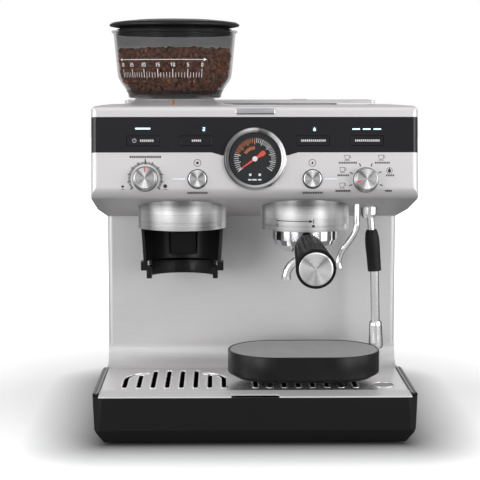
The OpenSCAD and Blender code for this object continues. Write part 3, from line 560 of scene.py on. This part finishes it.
def wrapped(outlines, arc_r, wall_at, lift, thick):
    """Lays (x, z) outlines on the front of a round wall; x is measured along a circle of radius arc_r."""
    mesh = slabs(outlines, 1.0)
    for vert in mesh.vertices:
        x, z, up = vert.co / MM
        r = wall_at(z) + lift + (thick if up > 0.5 else 0)
        vert.co = Vector((*polar(r, math.degrees(x / arc_r) - 90), z)) * MM
    fix_normals(mesh)
    return mesh


def box_outline(x, y, w, h):
    return [(x - w / 2, y - h / 2), (x + w / 2, y - h / 2), (x + w / 2, y + h / 2), (x - w / 2, y + h / 2)]


def disc_outline(x, y, r, steps=24):
    return [polar(r, 360 * k / steps, x, y) for k in range(steps)]


def tick_outline(angle, r0, r1, width):
    """A stroke that points away from the middle, from radius r0 to r1. Angle 0 is up, positive to the left."""
    along = Vector(polar(1, angle + 90))
    across = Vector((-along.y, along.x)) * width / 2
    return [tuple(along * r + across * side) for r, side in ((r0, -1), (r1, -1), (r1, 1), (r0, 1))]


def arc_outlines(x, y, r, width, start, end, steps=24):
    """A stroke along an arc, as short quads."""
    turns = [start + (end - start) * k / steps for k in range(steps + 1)]
    low, high = r - width / 2, r + width / 2
    return [[polar(q, a, x, y) for a, q in ((a0, low), (a0, high), (a1, high), (a1, low))]
            for a0, a1 in zip(turns, turns[1:])]


def line_outlines(points, width):
    """A stroke through some points, one quad for each stretch."""
    out = []
    for p, q in zip(points, points[1:]):
        p, q = Vector(p), Vector(q)
        along = (q - p).normalized() * width / 2
        across = Vector((-along.y, along.x))
        out.append([tuple(end) for end in (p - along - across, q + along - across, q + along + across,
                                           p - along + across)])
    return out


def level_line(x0, x1, y, width, steps):
    """A level stroke in short stretches, so that it can be wrapped round a wall."""
    return line_outlines([(x0 + (x1 - x0) * k / steps, y) for k in range(steps + 1)], width)


def soften(node, width_mm):
    """Rounds a CAD node's sharp edges with modifiers, which leave its own mesh as it is."""
    modifiers = NODES[node].modifiers
    modifiers.new("weld", "WELD").merge_threshold = 0.00001
    plane = modifiers.new("planar", "DECIMATE")
    plane.decimate_type = "DISSOLVE"
    plane.angle_limit = math.radians(0.5)
    bevel = modifiers.new("edges", "BEVEL")
    bevel.width = width_mm * MM
    bevel.segments = 2
    bevel.limit_method = "ANGLE"
    bevel.angle_limit = math.radians(40)
    bevel.miter_outer = "MITER_ARC"


def dress(node, finish=None):
    """Gives a CAD node its finish."""
    materials = NODES[node].data.materials
    materials.clear()
    materials.append(MATERIALS[finish or SLOT_OF[node]])


def middle(node):
    low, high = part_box(node)
    return (low + high) / 2


def vertical(place):
    """An upright frame with its foot at height 0."""
    return Matrix.Translation((place.x, place.y, 0))


# -------- the leaning control panel

GAUGE = JOINTS["gauge_pressure"]
PANEL_OUT = Vector(GAUGE["axis"]).normalized()
PANEL_ACROSS = Vector((1, 0, 0))
PANEL_UP = PANEL_OUT.cross(PANEL_ACROSS).normalized()
NEEDLE_HEIGHT = 1.0  # mm: the gauge joint's point stands this far out of the panel's surface
GAUGE_CENTRE = Vector(GAUGE["pos_m"]) - PANEL_OUT * NEEDLE_HEIGHT * MM
PRINT = 0.06  # mm: how proud a printed mark stands
LAMP_ROW = 30.5  # mm: the row of lamps above the gauge's centre
START_ROW = -19.9  # mm: the row of the start buttons below it


def on_panel_surface(point):
    """The foot of a point on the panel's outer surface."""
    point = Vector(point)
    return point - PANEL_OUT * (point - GAUGE_CENTRE).dot(PANEL_OUT)


def panel_matrix(place, height=0.0):
    """Stands a flat piece on the panel: its X across, its Y up the panel, its Z outwards."""
    point = on_panel_surface(place) + PANEL_OUT * height * MM
    return Matrix.Translation(point) @ Matrix((PANEL_ACROSS, PANEL_UP, PANEL_OUT)).transposed().to_4x4()


def on_panel(name, outlines, finish, place, height=0.0, body="machine", thick=PRINT):
    """Flat marks on the panel, or on something that stands that high out of it."""
    new_piece(name, slabs(outlines, thick), body, finish, panel_matrix(place, height))


def turned_z(degrees):
    return Matrix.Rotation(math.radians(degrees), 4, "Z")


def dashes(x, y, count, height=1.85):
    """A row of plain dashes, where the machine has a printed word."""
    pitch = height * 0.92
    return [box_outline(x + (k - (count - 1) / 2) * pitch, y, pitch * 0.68, height) for k in range(count)]


def cup_icon(x, y, size=2.9):
    """A small cup with a handle and a line under it, drawn in strokes."""
    cup = [(-1, 0.8), (-0.7, -0.6), (0.5, -0.6), (0.8, 0.8), (-1, 0.8)]
    return (line_outlines([(x + size * px, y + size * py) for px, py in cup], 0.42)
            + arc_outlines(x + 0.8 * size, y + 0.2 * size, 0.4 * size, 0.4, -100, 100, 8)
            + [box_outline(x - 0.1 * size, y - 0.95 * size, 1.8 * size, 0.4)])


def drop_outline(x, y, size):
    """A water drop, point upwards."""
    return [polar(size, a, x, y) for a in range(150, 391, 12)] + [(x, y + 2.1 * size)]


DIGITS = {  # strokes of each figure on a grid two wide and four high
    "0": [[(0, 0), (2, 0), (2, 4), (0, 4), (0, 0)]],
    "1": [[(0.4, 3.2), (1.1, 4), (1.1, 0)]],
    "2": [[(0, 4), (2, 4), (2, 2), (0, 2), (0, 0), (2, 0)]],
    "3": [[(0, 4), (2, 4), (2, 2), (0.4, 2)], [(2, 2), (2, 0), (0, 0)]],
    "5": [[(2, 4), (0, 4), (0, 2.1), (2, 2.1), (2, 0), (0, 0)]],
}


def number_outlines(text, x, y, height, width):
    """A number made of strokes, centred on x."""
    unit = height / 4
    left = x - (len(text) * 2 + (len(text) - 1) * 1.3) * unit / 2
    out = []
    for i, digit in enumerate(text):
        for stroke in DIGITS[digit]:
            out += line_outlines([(left + (i * 3.3 + px) * unit, y + py * unit) for px, py in stroke], width)
    return out


# -------- the panel's instruments

def build_gauge():
    flat, needle = (panel_matrix(GAUGE_CENTRE, height) for height in (0.0, 1.6))
    bezel = rounded_profile([(27.5, -20), (27.5, 0.2), (31.3, 0.2), (31.3, 3.4, 1.2), (29.3, 5.6, 1.6),
                             (27.0, 5.2, 0.8), (26.2, 4.1, 0.3), (26.2, 1.0), (26.8, -19), (0, -19)], 6)
    stand_in("gauge_bezel", lathe(bezel, 128), "gauge_case", "bezel_metal", flat)
    rim = [(25.95, 3.0), (26.7, 3.0), (26.7, 4.3), (25.95, 4.3), (25.95, 3.0)]
    new_piece("gauge_rim", lathe(rim), "machine", "print_black", flat)
    white, orange = [], []
    for k in range(41):  # outer ring, clockwise
        turn = -127 + 6.3 * k
        long = k % 4 == 0
        mark = tick_outline(-turn, 14.6 if long else 16.2, 21, 0.7 if long else 0.5)
        (orange if -76 < turn < 2 else white).append(mark)
    orange += [tick_outline(57 - 6.8 * k, 9.6, 12.8, 0.7) for k in range(9)]  # inner ring
    white += [disc_outline(x, -15.8, 1.4, 16) for x in (-4.75, 4.75)]
    white += [box_outline(x, -20.8, w, 1.5) for x, w in ((-5.2, 3.2), (-0.6, 4.4), (4.7, 3.4))]
    on_panel("gauge_scale", white, "print_white", GAUGE_CENTRE, 1.0)
    on_panel("gauge_range", orange, "print_orange", GAUGE_CENTRE, 1.0)
    half = [(0.5, -17), (1.2, 0), (1.3, 4), (2.5, 8.5), (2.2, 11.4), (0.9, 12.3)]
    pointer = [(-0.5, -17)] + half + [(-x, y) for x, y in reversed(half[1:])]
    stand_in("gauge_pointer", slabs([pointer], 0.5), "gauge_needle", matrix=needle @ turned_z(-55))
    tip = [[(-0.42, -17), (0.42, -17), (0.3, -19.3), (-0.3, -19.3)]]
    new_piece("gauge_pointer_tip", slabs(tip, 0.5), "gauge_pointer", "print_white", needle @ turned_z(-55))
    hub = rounded_profile([(2.6, 1.3), (2.6, 2.7, 0.4), (0, 2.9)])
    new_piece("gauge_hub", lathe(hub, 32), "gauge_pointer", "print_white", flat)


def build_knob(node, joint, pointer_turn):
    """A turned metal knob with fine grooves on its side and a red mark on its face."""
    place = Vector(JOINTS[joint]["pos_m"])
    body = JOINTS[joint]["child"]
    profile = rounded_profile([(0, 0.5), (12.1, 0.5), (12.1, 2.6, 0.5), (11.2, 3.4), (10.9, 4.4),
                               (10.9, 12.6, 0.5), (10.2, 13.6, 0.4), (0, 13.9)])
    stand_in(node + "_turned", lathe(profile), node, "spun_metal", panel_matrix(place))
    ribs = [tick_outline(6 * k, 10.7, 11.25, 0.5) for k in range(60)]
    new_piece(node + "_ribs", slabs(ribs, 7.6), body, "chrome", panel_matrix(place, 4.6))
    mark = [(-0.55, 5.8), (0.55, 5.8), (0.75, 10.6), (-0.75, 10.6)]
    new_piece(node + "_mark", slabs([mark], 0.1), body, "needle_red",
              panel_matrix(place, 13.75) @ turned_z(pointer_turn))
    # A black ring round the knob's foot: a painted shadow on the panel.
    shadow = [(12.2, 0.12), (12.7, 0.12), (12.7, 0.3), (12.2, 0.3), (12.2, 0.12)]
    new_piece(node + "_surround", lathe(shadow), "machine", "print_black", panel_matrix(place))


def build_knob_scales():
    left = Vector(JOINTS["dose_turn"]["pos_m"])
    marks = []
    for k in range(-25, 26):
        if k:
            big = k % 5 == 0
            marks.append(tick_outline(5 * k, 14.7, 18.2 if big else 17.2, 1.1 if big else 0.8))
    marks.append(box_outline(0, 17.1, 1.3, 5.5))
    marks += dashes(0, 22.0, 15, 2.3)
    on_panel("dose_scale", marks, "print_black", left)
    icons = [box_outline(-22.5, -10.6, 3.0, 0.45), box_outline(19.9, -10.6, 4.6, 0.45),
             disc_outline(-22.5, -7.6, 1.3), disc_outline(19.9, -7.3, 2.0)]
    on_panel("dose_icons", icons, "print_black", left)
    right = Vector(JOINTS["mode_turn"]["pos_m"])
    strokes = [tick_outline(turn, 14.4, 17.8, 1.0) for turn in (21, -21, 65, -62, 109, -109)]
    on_panel("mode_scale", strokes, "print_black", right)
    icons = []
    for x, y in ((-18.5, 22.3), (15.6, 22.4), (-23.2, 10.1), (-23.6, -5.4)):
        icons += cup_icon(x, y)
    icons += [drop_outline(23.6, 8.9, 1.6)] + arc_outlines(23.6, 9.4, 2.9, 0.4, 0, 360, 20)
    for x, y, count in ((-18.1, 17.2, 11), (16.5, 17.2, 9), (-22.8, 4.6, 7), (24.2, 4.6, 5),
                        (-23.0, -11.0, 9), (22.6, -11.0, 4)):
        icons += dashes(x, y, count)
    on_panel("mode_icons", icons, "print_black", right)


def build_start_buttons():
    """Two round turned buttons, each with its icon above and a row of dashes below."""
    cap = rounded_profile([(0, -5), (8.9, -5), (8.9, 2.9, 0.7), (7.9, 3.5, 0.2), (0, 3.2)])
    ring = rounded_profile([(9.05, -1), (9.05, 0.5, 0.2), (9.9, 0.5, 0.2), (9.9, -1)], 3)
    for node, sign in (("grind_button", disc_outline(0, 16.2, 1.4)), ("brew_button", drop_outline(0, 15.8, 1.0))):
        place = on_panel_surface(middle(node))
        stand_in(node + "_turned", lathe(cap), node, "spun_metal", panel_matrix(place))
        new_piece(node + "_surround", lathe(ring), "machine", "print_black", panel_matrix(place))
        icon = arc_outlines(0, 16.2, 3.5, 0.5, 0, 360, 28) + [sign] + dashes(0, -13.8, 12)
        on_panel(node + "_icon", icon, "print_black", place)


def build_flat_buttons():
    """Legends on the four flat buttons, and the thin frame round each."""
    power_sign = arc_outlines(-8.4, 0, 1.8, 0.45, 120, 420, 20) + [box_outline(-8.4, 1.4, 0.45, 1.9)]
    frame_lines = [box_outline(0, y, 32.6, 0.25) for y in (4.95, -4.95)]
    frame_lines += [box_outline(x, 0, 0.25, 10) for x in (16.2, -16.2)]
    for node, legend in (("power_button", power_sign + dashes(4.0, 0, 7, 2.2)),
                         ("cups_button", dashes(0, 0, 5, 2.1)),
                         ("infusion_button", dashes(0, 0, 13, 2.1)),
                         ("temperature_button", dashes(0, 0, 13, 2.1))):
        soften(node, 0.25)
        place = on_panel_surface(middle(node))
        on_panel(node + "_legend", legend, "print_grey", place, 0.5, BODY_OF[node], 0.05)
        on_panel(node + "_frame", frame_lines, "print_frame", place)


def build_lamps():
    """Lit shapes on dark windows."""
    two = [(-51.8, 0.9), (-50.2, 0.9), (-50.2, -0.6), (-51.8, -0.6), (-51.8, -2.1), (-50.2, -2.1)]
    bars = [(112 + 10.6 * i, LAMP_ROW - 0.6) for i in (-1, 0, 1)]
    shapes = [box_outline(-112, LAMP_ROW, 15, 1.6)] + line_outlines([(x, LAMP_ROW + y) for x, y in two], 0.6)
    shapes += [drop_outline(59.7, LAMP_ROW - 1.2, 1.3)] + [box_outline(x, y, 7.6, 1.3) for x, y in bars]
    stand_in("lit_symbols", slabs(shapes, 0.4), "indicator_lamps", matrix=panel_matrix(GAUGE_CENTRE))
    windows = [box_outline(-112, LAMP_ROW, 15, 1.8), box_outline(-51, LAMP_ROW - 0.8, 4.4, 6),
               box_outline(59.7, LAMP_ROW - 0.4, 5, 5)] + [box_outline(x, y, 9, 1.6) for x, y in bars]
    on_panel("lamp_windows", windows, "print_black", GAUGE_CENTRE, -0.6, thick=0.5)
    glow = [box_outline(x, START_ROW, 13.4, 1.7) for x in (-76, 76)]
    on_panel("start_lamps", glow, "lamp_soft", GAUGE_CENTRE, -0.3, thick=0.5)


# -------- bean hopper

HOPPER = vertical(Vector(JOINTS["grind_setting"]["pos_m"]))
BOWL = [(35.7, 318), (35.7, 344.6), (48.5, 344.6), (50, 346.2), (50, 348.6), (51.4, 351.2), (54, 355.6),
        (58.4, 361.8), (60.9, 366.4), (62.0, 373), (65.8, 413.2), (67.8, 414.6), (67.8, 416.5), (63.6, 416.5),
        (59.6, 373), (58.4, 366.8), (51, 353.2), (46, 349.6), (24, 346.2), (32.7, 341.6), (32.7, 318)]
BOWL_WALL = BOWL[4:11]  # the outside that beans and marks follow
SCALE_R = 63  # mm: radius along which the scale's marks are spaced
SCALE_LINE, SCALE_DIGITS = 385.3, 378.4  # mm: heights of the arrow and of the numbers
SCALE_FIRST, SCALE_STEP = -64.5, 16.05  # mm: where 30 stands along the wall, and the next number


def bowl_radius(z):
    """Outer radius of the bowl at a height, in mm."""
    for (r0, z0), (r1, z1) in zip(BOWL_WALL, BOWL_WALL[1:]):
        if z0 <= z <= z1:
            return r0 + (r1 - r0) * (z - z0) / (z1 - z0)
    return BOWL_WALL[-1][0]


def build_hopper_marks():
    """A grind scale from 30 to 0 round the bowl's front, under a double arrow."""
    start, end = SCALE_FIRST - 1.5, SCALE_FIRST + 6 * SCALE_STEP + 2
    strokes = level_line(start, end, SCALE_LINE, 0.55, 48)
    for x, out in ((start, -1), (end, 1)):  # arrowheads
        strokes.append([(x + out * 3.4, SCALE_LINE), (x - out * 0.4, SCALE_LINE + out * 1.6),
                        (x - out * 0.4, SCALE_LINE - out * 1.6)])
    for i, text in enumerate(("30", "25", "20", "15", "10", "5", "0")):
        strokes += number_outlines(text, SCALE_FIRST + SCALE_STEP * i, SCALE_DIGITS, 3.2, 0.5)
    for k in range(31):
        z, width, height = (371.2, 0.6, 8.8) if k % 5 == 0 else (369.4, 0.4, 5.2)
        strokes.append(box_outline(SCALE_FIRST + SCALE_STEP / 5 * k, z, width, height))
    new_piece("hopper_scale", wrapped(strokes, SCALE_R, bowl_radius, 0.05, 0.08), "hopper", "print_white", HOPPER)


def bean_shape():
    """One coffee bean as (points, faces): an oval with one flatter side and a crease along it."""
    rings, sides = 7, 10
    points, faces = [(-1.0, 0, 0)], []
    for i in range(1, rings):
        a = math.pi * i / rings
        x, r = -math.cos(a), math.sin(a)
        for k in range(sides):
            y, z = polar(r, 360 * k / sides)
            y, z = y * 0.7, z * 0.52
            if z > 0:
                z *= 0.55
                if abs(y) < 0.12:
                    z -= 0.2 * r
            points.append((x, y, z))
    points.append((1.0, 0, 0))
    last = len(points) - 1
    for k in range(sides):
        n = (k + 1) % sides
        faces.append((0, 1 + n, 1 + k))
        faces.append((last, last - sides + k, last - sides + n))
        for i in range(rings - 2):
            a = 1 + i * sides
            faces.append((a + k, a + n, a + sides + n, a + sides + k))
    return points, faces


def build_beans():
    """Beans heaped against the wall and over the top of a dark core, which paints the shade between them."""
    chance = random.Random(11)
    places = []
    for row in range(12):  # against the wall, in uneven rows
        z = 352 + row * 3.8
        reach = bowl_radius(z) - (6.0 if z > 360 else 8.4)
        count = int(2 * math.pi * reach / 6.4)
        for k in range(count):
            a = 2 * math.pi * (k + 0.5 * (row % 2) + chance.uniform(-0.25, 0.25)) / count
            places.append((reach + chance.uniform(-1.6, 0.5), a, z + chance.uniform(-1.2, 1.2)))
            places.append((reach - 4 + chance.uniform(-1, 1), a + 0.06, z + chance.uniform(-2, 2)))
    for _ in range(300):  # the heap's top
        r = 56 * math.sqrt(chance.random())
        places.append((r, chance.uniform(0, 2 * math.pi), 396 - 2.4 * (r / 56) ** 2 + chance.uniform(-2.2, 1.2)))
    points, bean_faces = bean_shape()
    verts, faces = [], []
    for r, a, z in places:
        size = chance.uniform(3.4, 4.6)
        spin = Matrix.Identity(3)
        for axis in "ZXY":
            spin = spin @ Matrix.Rotation(chance.uniform(0, 6.28), 3, axis)
        centre = Vector((r * math.cos(a), r * math.sin(a), z))
        start = len(verts)
        verts += [centre + spin @ Vector(point) * size for point in points]
        faces += [tuple(start + i for i in face) for face in bean_faces]
    stand_in("loose_beans", make_mesh(verts, faces), "coffee_beans", matrix=HOPPER, smooth_angle=80)
    core = [(0, 348), (38, 349), (46, 358), (52, 366), (54.5, 392), (0, 393)]
    new_piece("bean_shade_core", lathe(core, 48), "hopper", "bean_shadow", HOPPER)


def setting_index():
    """An index mark that follows the fixed collar's flare. Its upper end, under the bowl, stays open."""
    verts = []
    for k in range(9):
        a = math.radians(20 + 7.5 * k)
        r, z = 63.2 - 20.5 * math.sin(a), 344.2 - 6.4 * math.cos(a)
        verts += [(x, -(r + lift), z + lift) for x, lift in ((-1.1, -0.2), (1.1, -0.2), (1.1, 0.12), (-1.1, 0.12))]
    return make_mesh(verts, ring_faces(9, 4)[:-1])


def build_hopper():
    stand_in("smoked_bowl", lathe(BOWL + [BOWL[0]], 128), "hopper_bowl", matrix=HOPPER)
    lid = rounded_profile([(0, 424.2), (56.6, 424.2), (56.6, 412), (58.6, 412), (58.6, 419.4), (63.0, 419.7),
                           (69.0, 421.0, 0.6), (69.9, 421.8, 0.4), (69.9, 423.2, 0.8), (66.5, 425.2, 2),
                           (56.5, 426.6, 3), (40, 428.2, 6), (0, 429.5)], 5)
    stand_in("moulded_lid", lathe(lid, 128), "hopper_lid", matrix=HOPPER)
    liner = [(60.4, 399.5), (62.8, 412), (62.4, 412), (60.0, 399.5), (60.4, 399.5)]
    new_piece("bowl_tint", lathe(liner), "hopper", "smoked_tint", HOPPER, "smoked_plastic")
    foot = rounded_profile([(47.5, 344.8), (49.7, 345.4, 0.5), (50.35, 346.6, 0.4), (50.35, 348.4),
                            (51.2, 350.6), (52.6, 352.6), (51.6, 352.9), (49.6, 350.4), (48.9, 348),
                            (47.5, 344.8)], 2)
    new_piece("bowl_foot", lathe(foot), "hopper", "smoked_plastic", HOPPER)
    ribs = [(58.6, 411.4)]
    for z in (411.9, 414.3, 416.7):
        ribs += [(59.4, z), (61.6, z + 0.5), (61.6, z + 1.2), (59.4, z + 1.8)]
    ribs += [(58.6, 419.3), (58.6, 411.4)]
    stand_in("ribbed_gasket", lathe(ribs), "lid_gasket", matrix=HOPPER, smooth_angle=20)
    new_piece("setting_index", setting_index(), "machine", "print_orange", HOPPER)
    build_hopper_marks()
    build_beans()


# -------- group, grinder outlet, portafilter, spout

COLLAR_TOP = 250  # mm: hidden inside the head
LOCK_LINE, LOCK_SIGNS = 221.6, 216.8  # mm: heights of the lock arrow and of the signs below it
HANDLE_DROP = 4.6  # degrees: the handle slopes down towards its cap
FLUTES, FLUTE_DEPTH = 12, 1.3
GRIP_STATIONS = (  # mm along the handle, radius in mm, and how deep the flutes are there
    (38.5, 9.2, 0), (39.0, 10.6, 0), (40.5, 11.8, 0), (44, 12.7, 0.2), (50, 13.4, 1), (57, 14.1, 1),
    (64, 14.7, 1), (75, 15.4, 1), (88, 15.9, 1), (100, 16.5, 1), (112, 17.1, 1), (124, 17.6, 0.9),
    (134, 18.0, 0.5), (140, 18.3, 0.1), (146, 18.8, 0), (149.5, 19.15, 0), (151.2, 19.1, 0), (152.5, 18.5, 0),
    (152.9, 17.6, 0), (152.3, 16.6, 0), (151.3, 16.4, 0))


def build_collars():
    """The two turned collars under the head, and the lock arrow round the front of the group's."""
    for node in ("grinder_collar", "group_collar"):
        low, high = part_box(node)
        r, z = (high.x - low.x) / 2 / MM, low.z / MM
        profile = rounded_profile([(r - 2.4, COLLAR_TOP), (r - 2.4, z, 0.5), (r, z, 0.6), (r, COLLAR_TOP)], 3)
        stand_in(node + "_turned", lathe(profile, 128), node, "collar_metal", vertical(middle(node)))
    arrow = arc_outlines(-33, LOCK_SIGNS, 1.2, 0.7, 0, 360, 16) + [disc_outline(6, LOCK_SIGNS, 1.5)]
    arrow += level_line(-33, 4, LOCK_LINE, 0.75, 14)
    arrow += [[(5.6, LOCK_LINE), (1.6, LOCK_LINE + 1.8), (1.6, LOCK_LINE - 1.8)]]
    arrow += [box_outline(-33.4, LOCK_LINE - 0.6, 0.8, 4.4), box_outline(6.2, LOCK_LINE, 0.8, 4.4)]
    low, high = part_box("group_collar")
    r = (high.x - low.x) / 2 / MM
    new_piece("lock_arrow", wrapped(arrow, r, lambda z: r, 0.03, 0.09), "machine", "print_black",
              vertical(middle("group_collar")))


def handle_frame():
    """The handle's own frame, Z along it from over the bowl's axis, and its length in mm to the cap's middle."""
    cap = middle("handle_cap")
    bowl = Vector(JOINTS["portafilter_lock"]["pos_m"])
    run = Vector((cap.x - bowl.x, cap.y - bowl.y)).length
    start = Vector((bowl.x, bowl.y, cap.z + run * math.tan(math.radians(HANDLE_DROP))))
    along = (cap - start).normalized()
    side = Vector((0, 0, 1)).cross(along).normalized()
    up = along.cross(side).normalized()
    turn = Matrix((side, up, along)).transposed()
    return Matrix.Translation(start) @ turn.to_4x4(), (cap - start).length / MM


def build_handle():
    place, length = handle_frame()
    cap = rounded_profile([(0, length - 0.8), (16.2, length - 0.8), (16.2, length + 0.3, 0.4),
                           (14.8, length + 0.6, 0.2), (0, length + 0.2)])
    stand_in("handle_cap_spun", lathe(cap), "handle_cap", "cap_metal", place)
    sides = 144
    verts = []
    for z, r, groove in GRIP_STATIONS:
        for k in range(sides):
            dip = max(0.0, math.cos(2 * math.pi * FLUTES * k / sides)) ** 4 * FLUTE_DEPTH * groove
            verts.append((*polar(r - dip, 360 * k / sides), z))
    grip = make_mesh(verts, ring_faces(len(GRIP_STATIONS), sides))
    stand_in("fluted_grip", grip, "portafilter_handle", "grip_black", place)


def build_water_spout():
    path = smooth_path([(107, -50, 245), (107, -50, 224), (106.4, -50, 210), (100, -50, 198.5),
                        (91.6, -50, 186.4), (88.4, -50, 176), (89.4, -50, 169.5)])
    stand_in("bent_spout", tube(path, 3.05, 32), "hot_water_spout", "wand_chrome")


# -------- drip tray

SLOT_W, SLOT_PITCH, SLOT_FRONT = 6.4, 14.6, -91
LIP_R = 1.1  # mm: radius of the rolled edge round a slot
PLATE_TOP = 51.5


def straight_slot(x, back):
    """The outline of a round-ended slot, in mm."""
    half = SLOT_W / 2
    return ([polar(half, 180 + 15 * k, x, SLOT_FRONT + half) for k in range(13)]
            + [polar(half, 15 * k, x, back - half) for k in range(13)])


def turned_slot(x, back, side):
    """A slot whose back end turns towards the middle of its group."""
    half, r, end = SLOT_W / 2, 30, 110
    run = [polar(r + half, 180 - 7 * k, r) for k in range(11)]
    run += [polar(half, end - 30 * k, *polar(r, end, r)) for k in range(1, 6)]
    run += [polar(r - half, end + 7 * k, r) for k in range(11)]
    run += [polar(half, -30 * k, 0, SLOT_FRONT + half - back) for k in range(7)]
    return [(x + side * px, back + py) for px, py in run]


def lip(outline, height):
    """The points of a rolled edge along a closed outline, in mm, as rings of eight."""
    points, n = [], len(outline)
    for i in range(n):
        before, here, after = (Vector(outline[(i + d) % n]) for d in (-1, 0, 1))
        along = (after - before).normalized()
        out = Vector((along.y, -along.x))
        for k in range(8):
            away, rise = polar(LIP_R, 45 * k)
            points.append((*(here + out * away), height + rise))
    return points


def build_tray():
    """Rolled, polished edges round the plate's slots, and a ring round the float's hole, in a metal lighter than
    the plate: real edges with a painted highlight.
    """
    verts, faces = [], []
    for first in (-133.3, 1.5):
        for i in range(8):
            x = first + SLOT_PITCH * i
            if i in (0, 7):
                outline = turned_slot(x, -48, 1 if i == 0 else -1)
            else:
                outline = straight_slot(x, -27 if i in (1, 6) else -6)
            start = len(verts)
            verts += lip(outline, PLATE_TOP - 0.4)
            faces += [tuple(start + k for k in quad) for quad in ring_faces(len(outline), 8, closed=True)]
    new_piece("slot_edges", make_mesh(verts, faces), "tray", "edge_metal", slot="brushed_panel")
    ring = rounded_profile([(10.95, 50.6), (10.95, 51.9, 0.3), (12.4, 51.9, 0.3), (12.4, 51.4)], 3)
    new_piece("float_ring", lathe(ring, 64), "tray", "edge_metal", vertical(middle("drip_float")), "brushed_panel")


# -------- back

def build_back():
    """The screws that hold the rear housing."""
    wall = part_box("rear_housing")[1].y
    head = rounded_profile([(3.6, -0.6), (3.6, 0.9, 0.6), (1.6, 1.3), (1.6, 0.4), (0, 0.4)], 3)
    for i, (x, z) in enumerate(((-138, 196), (138, 196), (-138, 24), (138, 24))):
        place = Matrix.Translation((x * MM, wall, z * MM)) @ Matrix.Rotation(math.radians(-90), 4, "X")
        new_piece("rear_screw_%d" % i, lathe(head, 24), "machine", "motor_grey", place)


# -------- assembly

OWN_FINISH = {"tray_plate": "tray_metal", "wand_pipe": "wand_chrome", "wand_nozzle": "wand_chrome",
              "wand_collar": "wand_chrome", "portafilter_spout": "wand_chrome", "water_tank": "tank_plastic"}
EDGE_MM = {"front_fascia": 0.8, "head_shell": 1.0, "column_panel": 0.8, "rear_housing": 1.0, "drip_bin": 0.9,
           "cup_platform": 0.8, "tank_lid": 1.0, "tray_rails": 0.4, "dosing_cradle": 0.5, "badge_plate": 0.2,
           "base_pan": 0.5}

make_materials()
for each_node in NODES:
    dress(each_node, OWN_FINISH.get(each_node))
for each_node, width in EDGE_MM.items():
    soften(each_node, width)

build_gauge()
build_knob("dose_knob", "dose_turn", 0)
build_knob("mode_knob", "mode_turn", 107)
build_knob_scales()
build_start_buttons()
build_flat_buttons()
build_lamps()
build_hopper()
build_collars()
build_handle()
build_water_spout()
build_tray()
build_back()

make_camera()
make_world()
make_floor()
make_lights()
bpy.context.scene.view_settings.view_transform = "Standard"
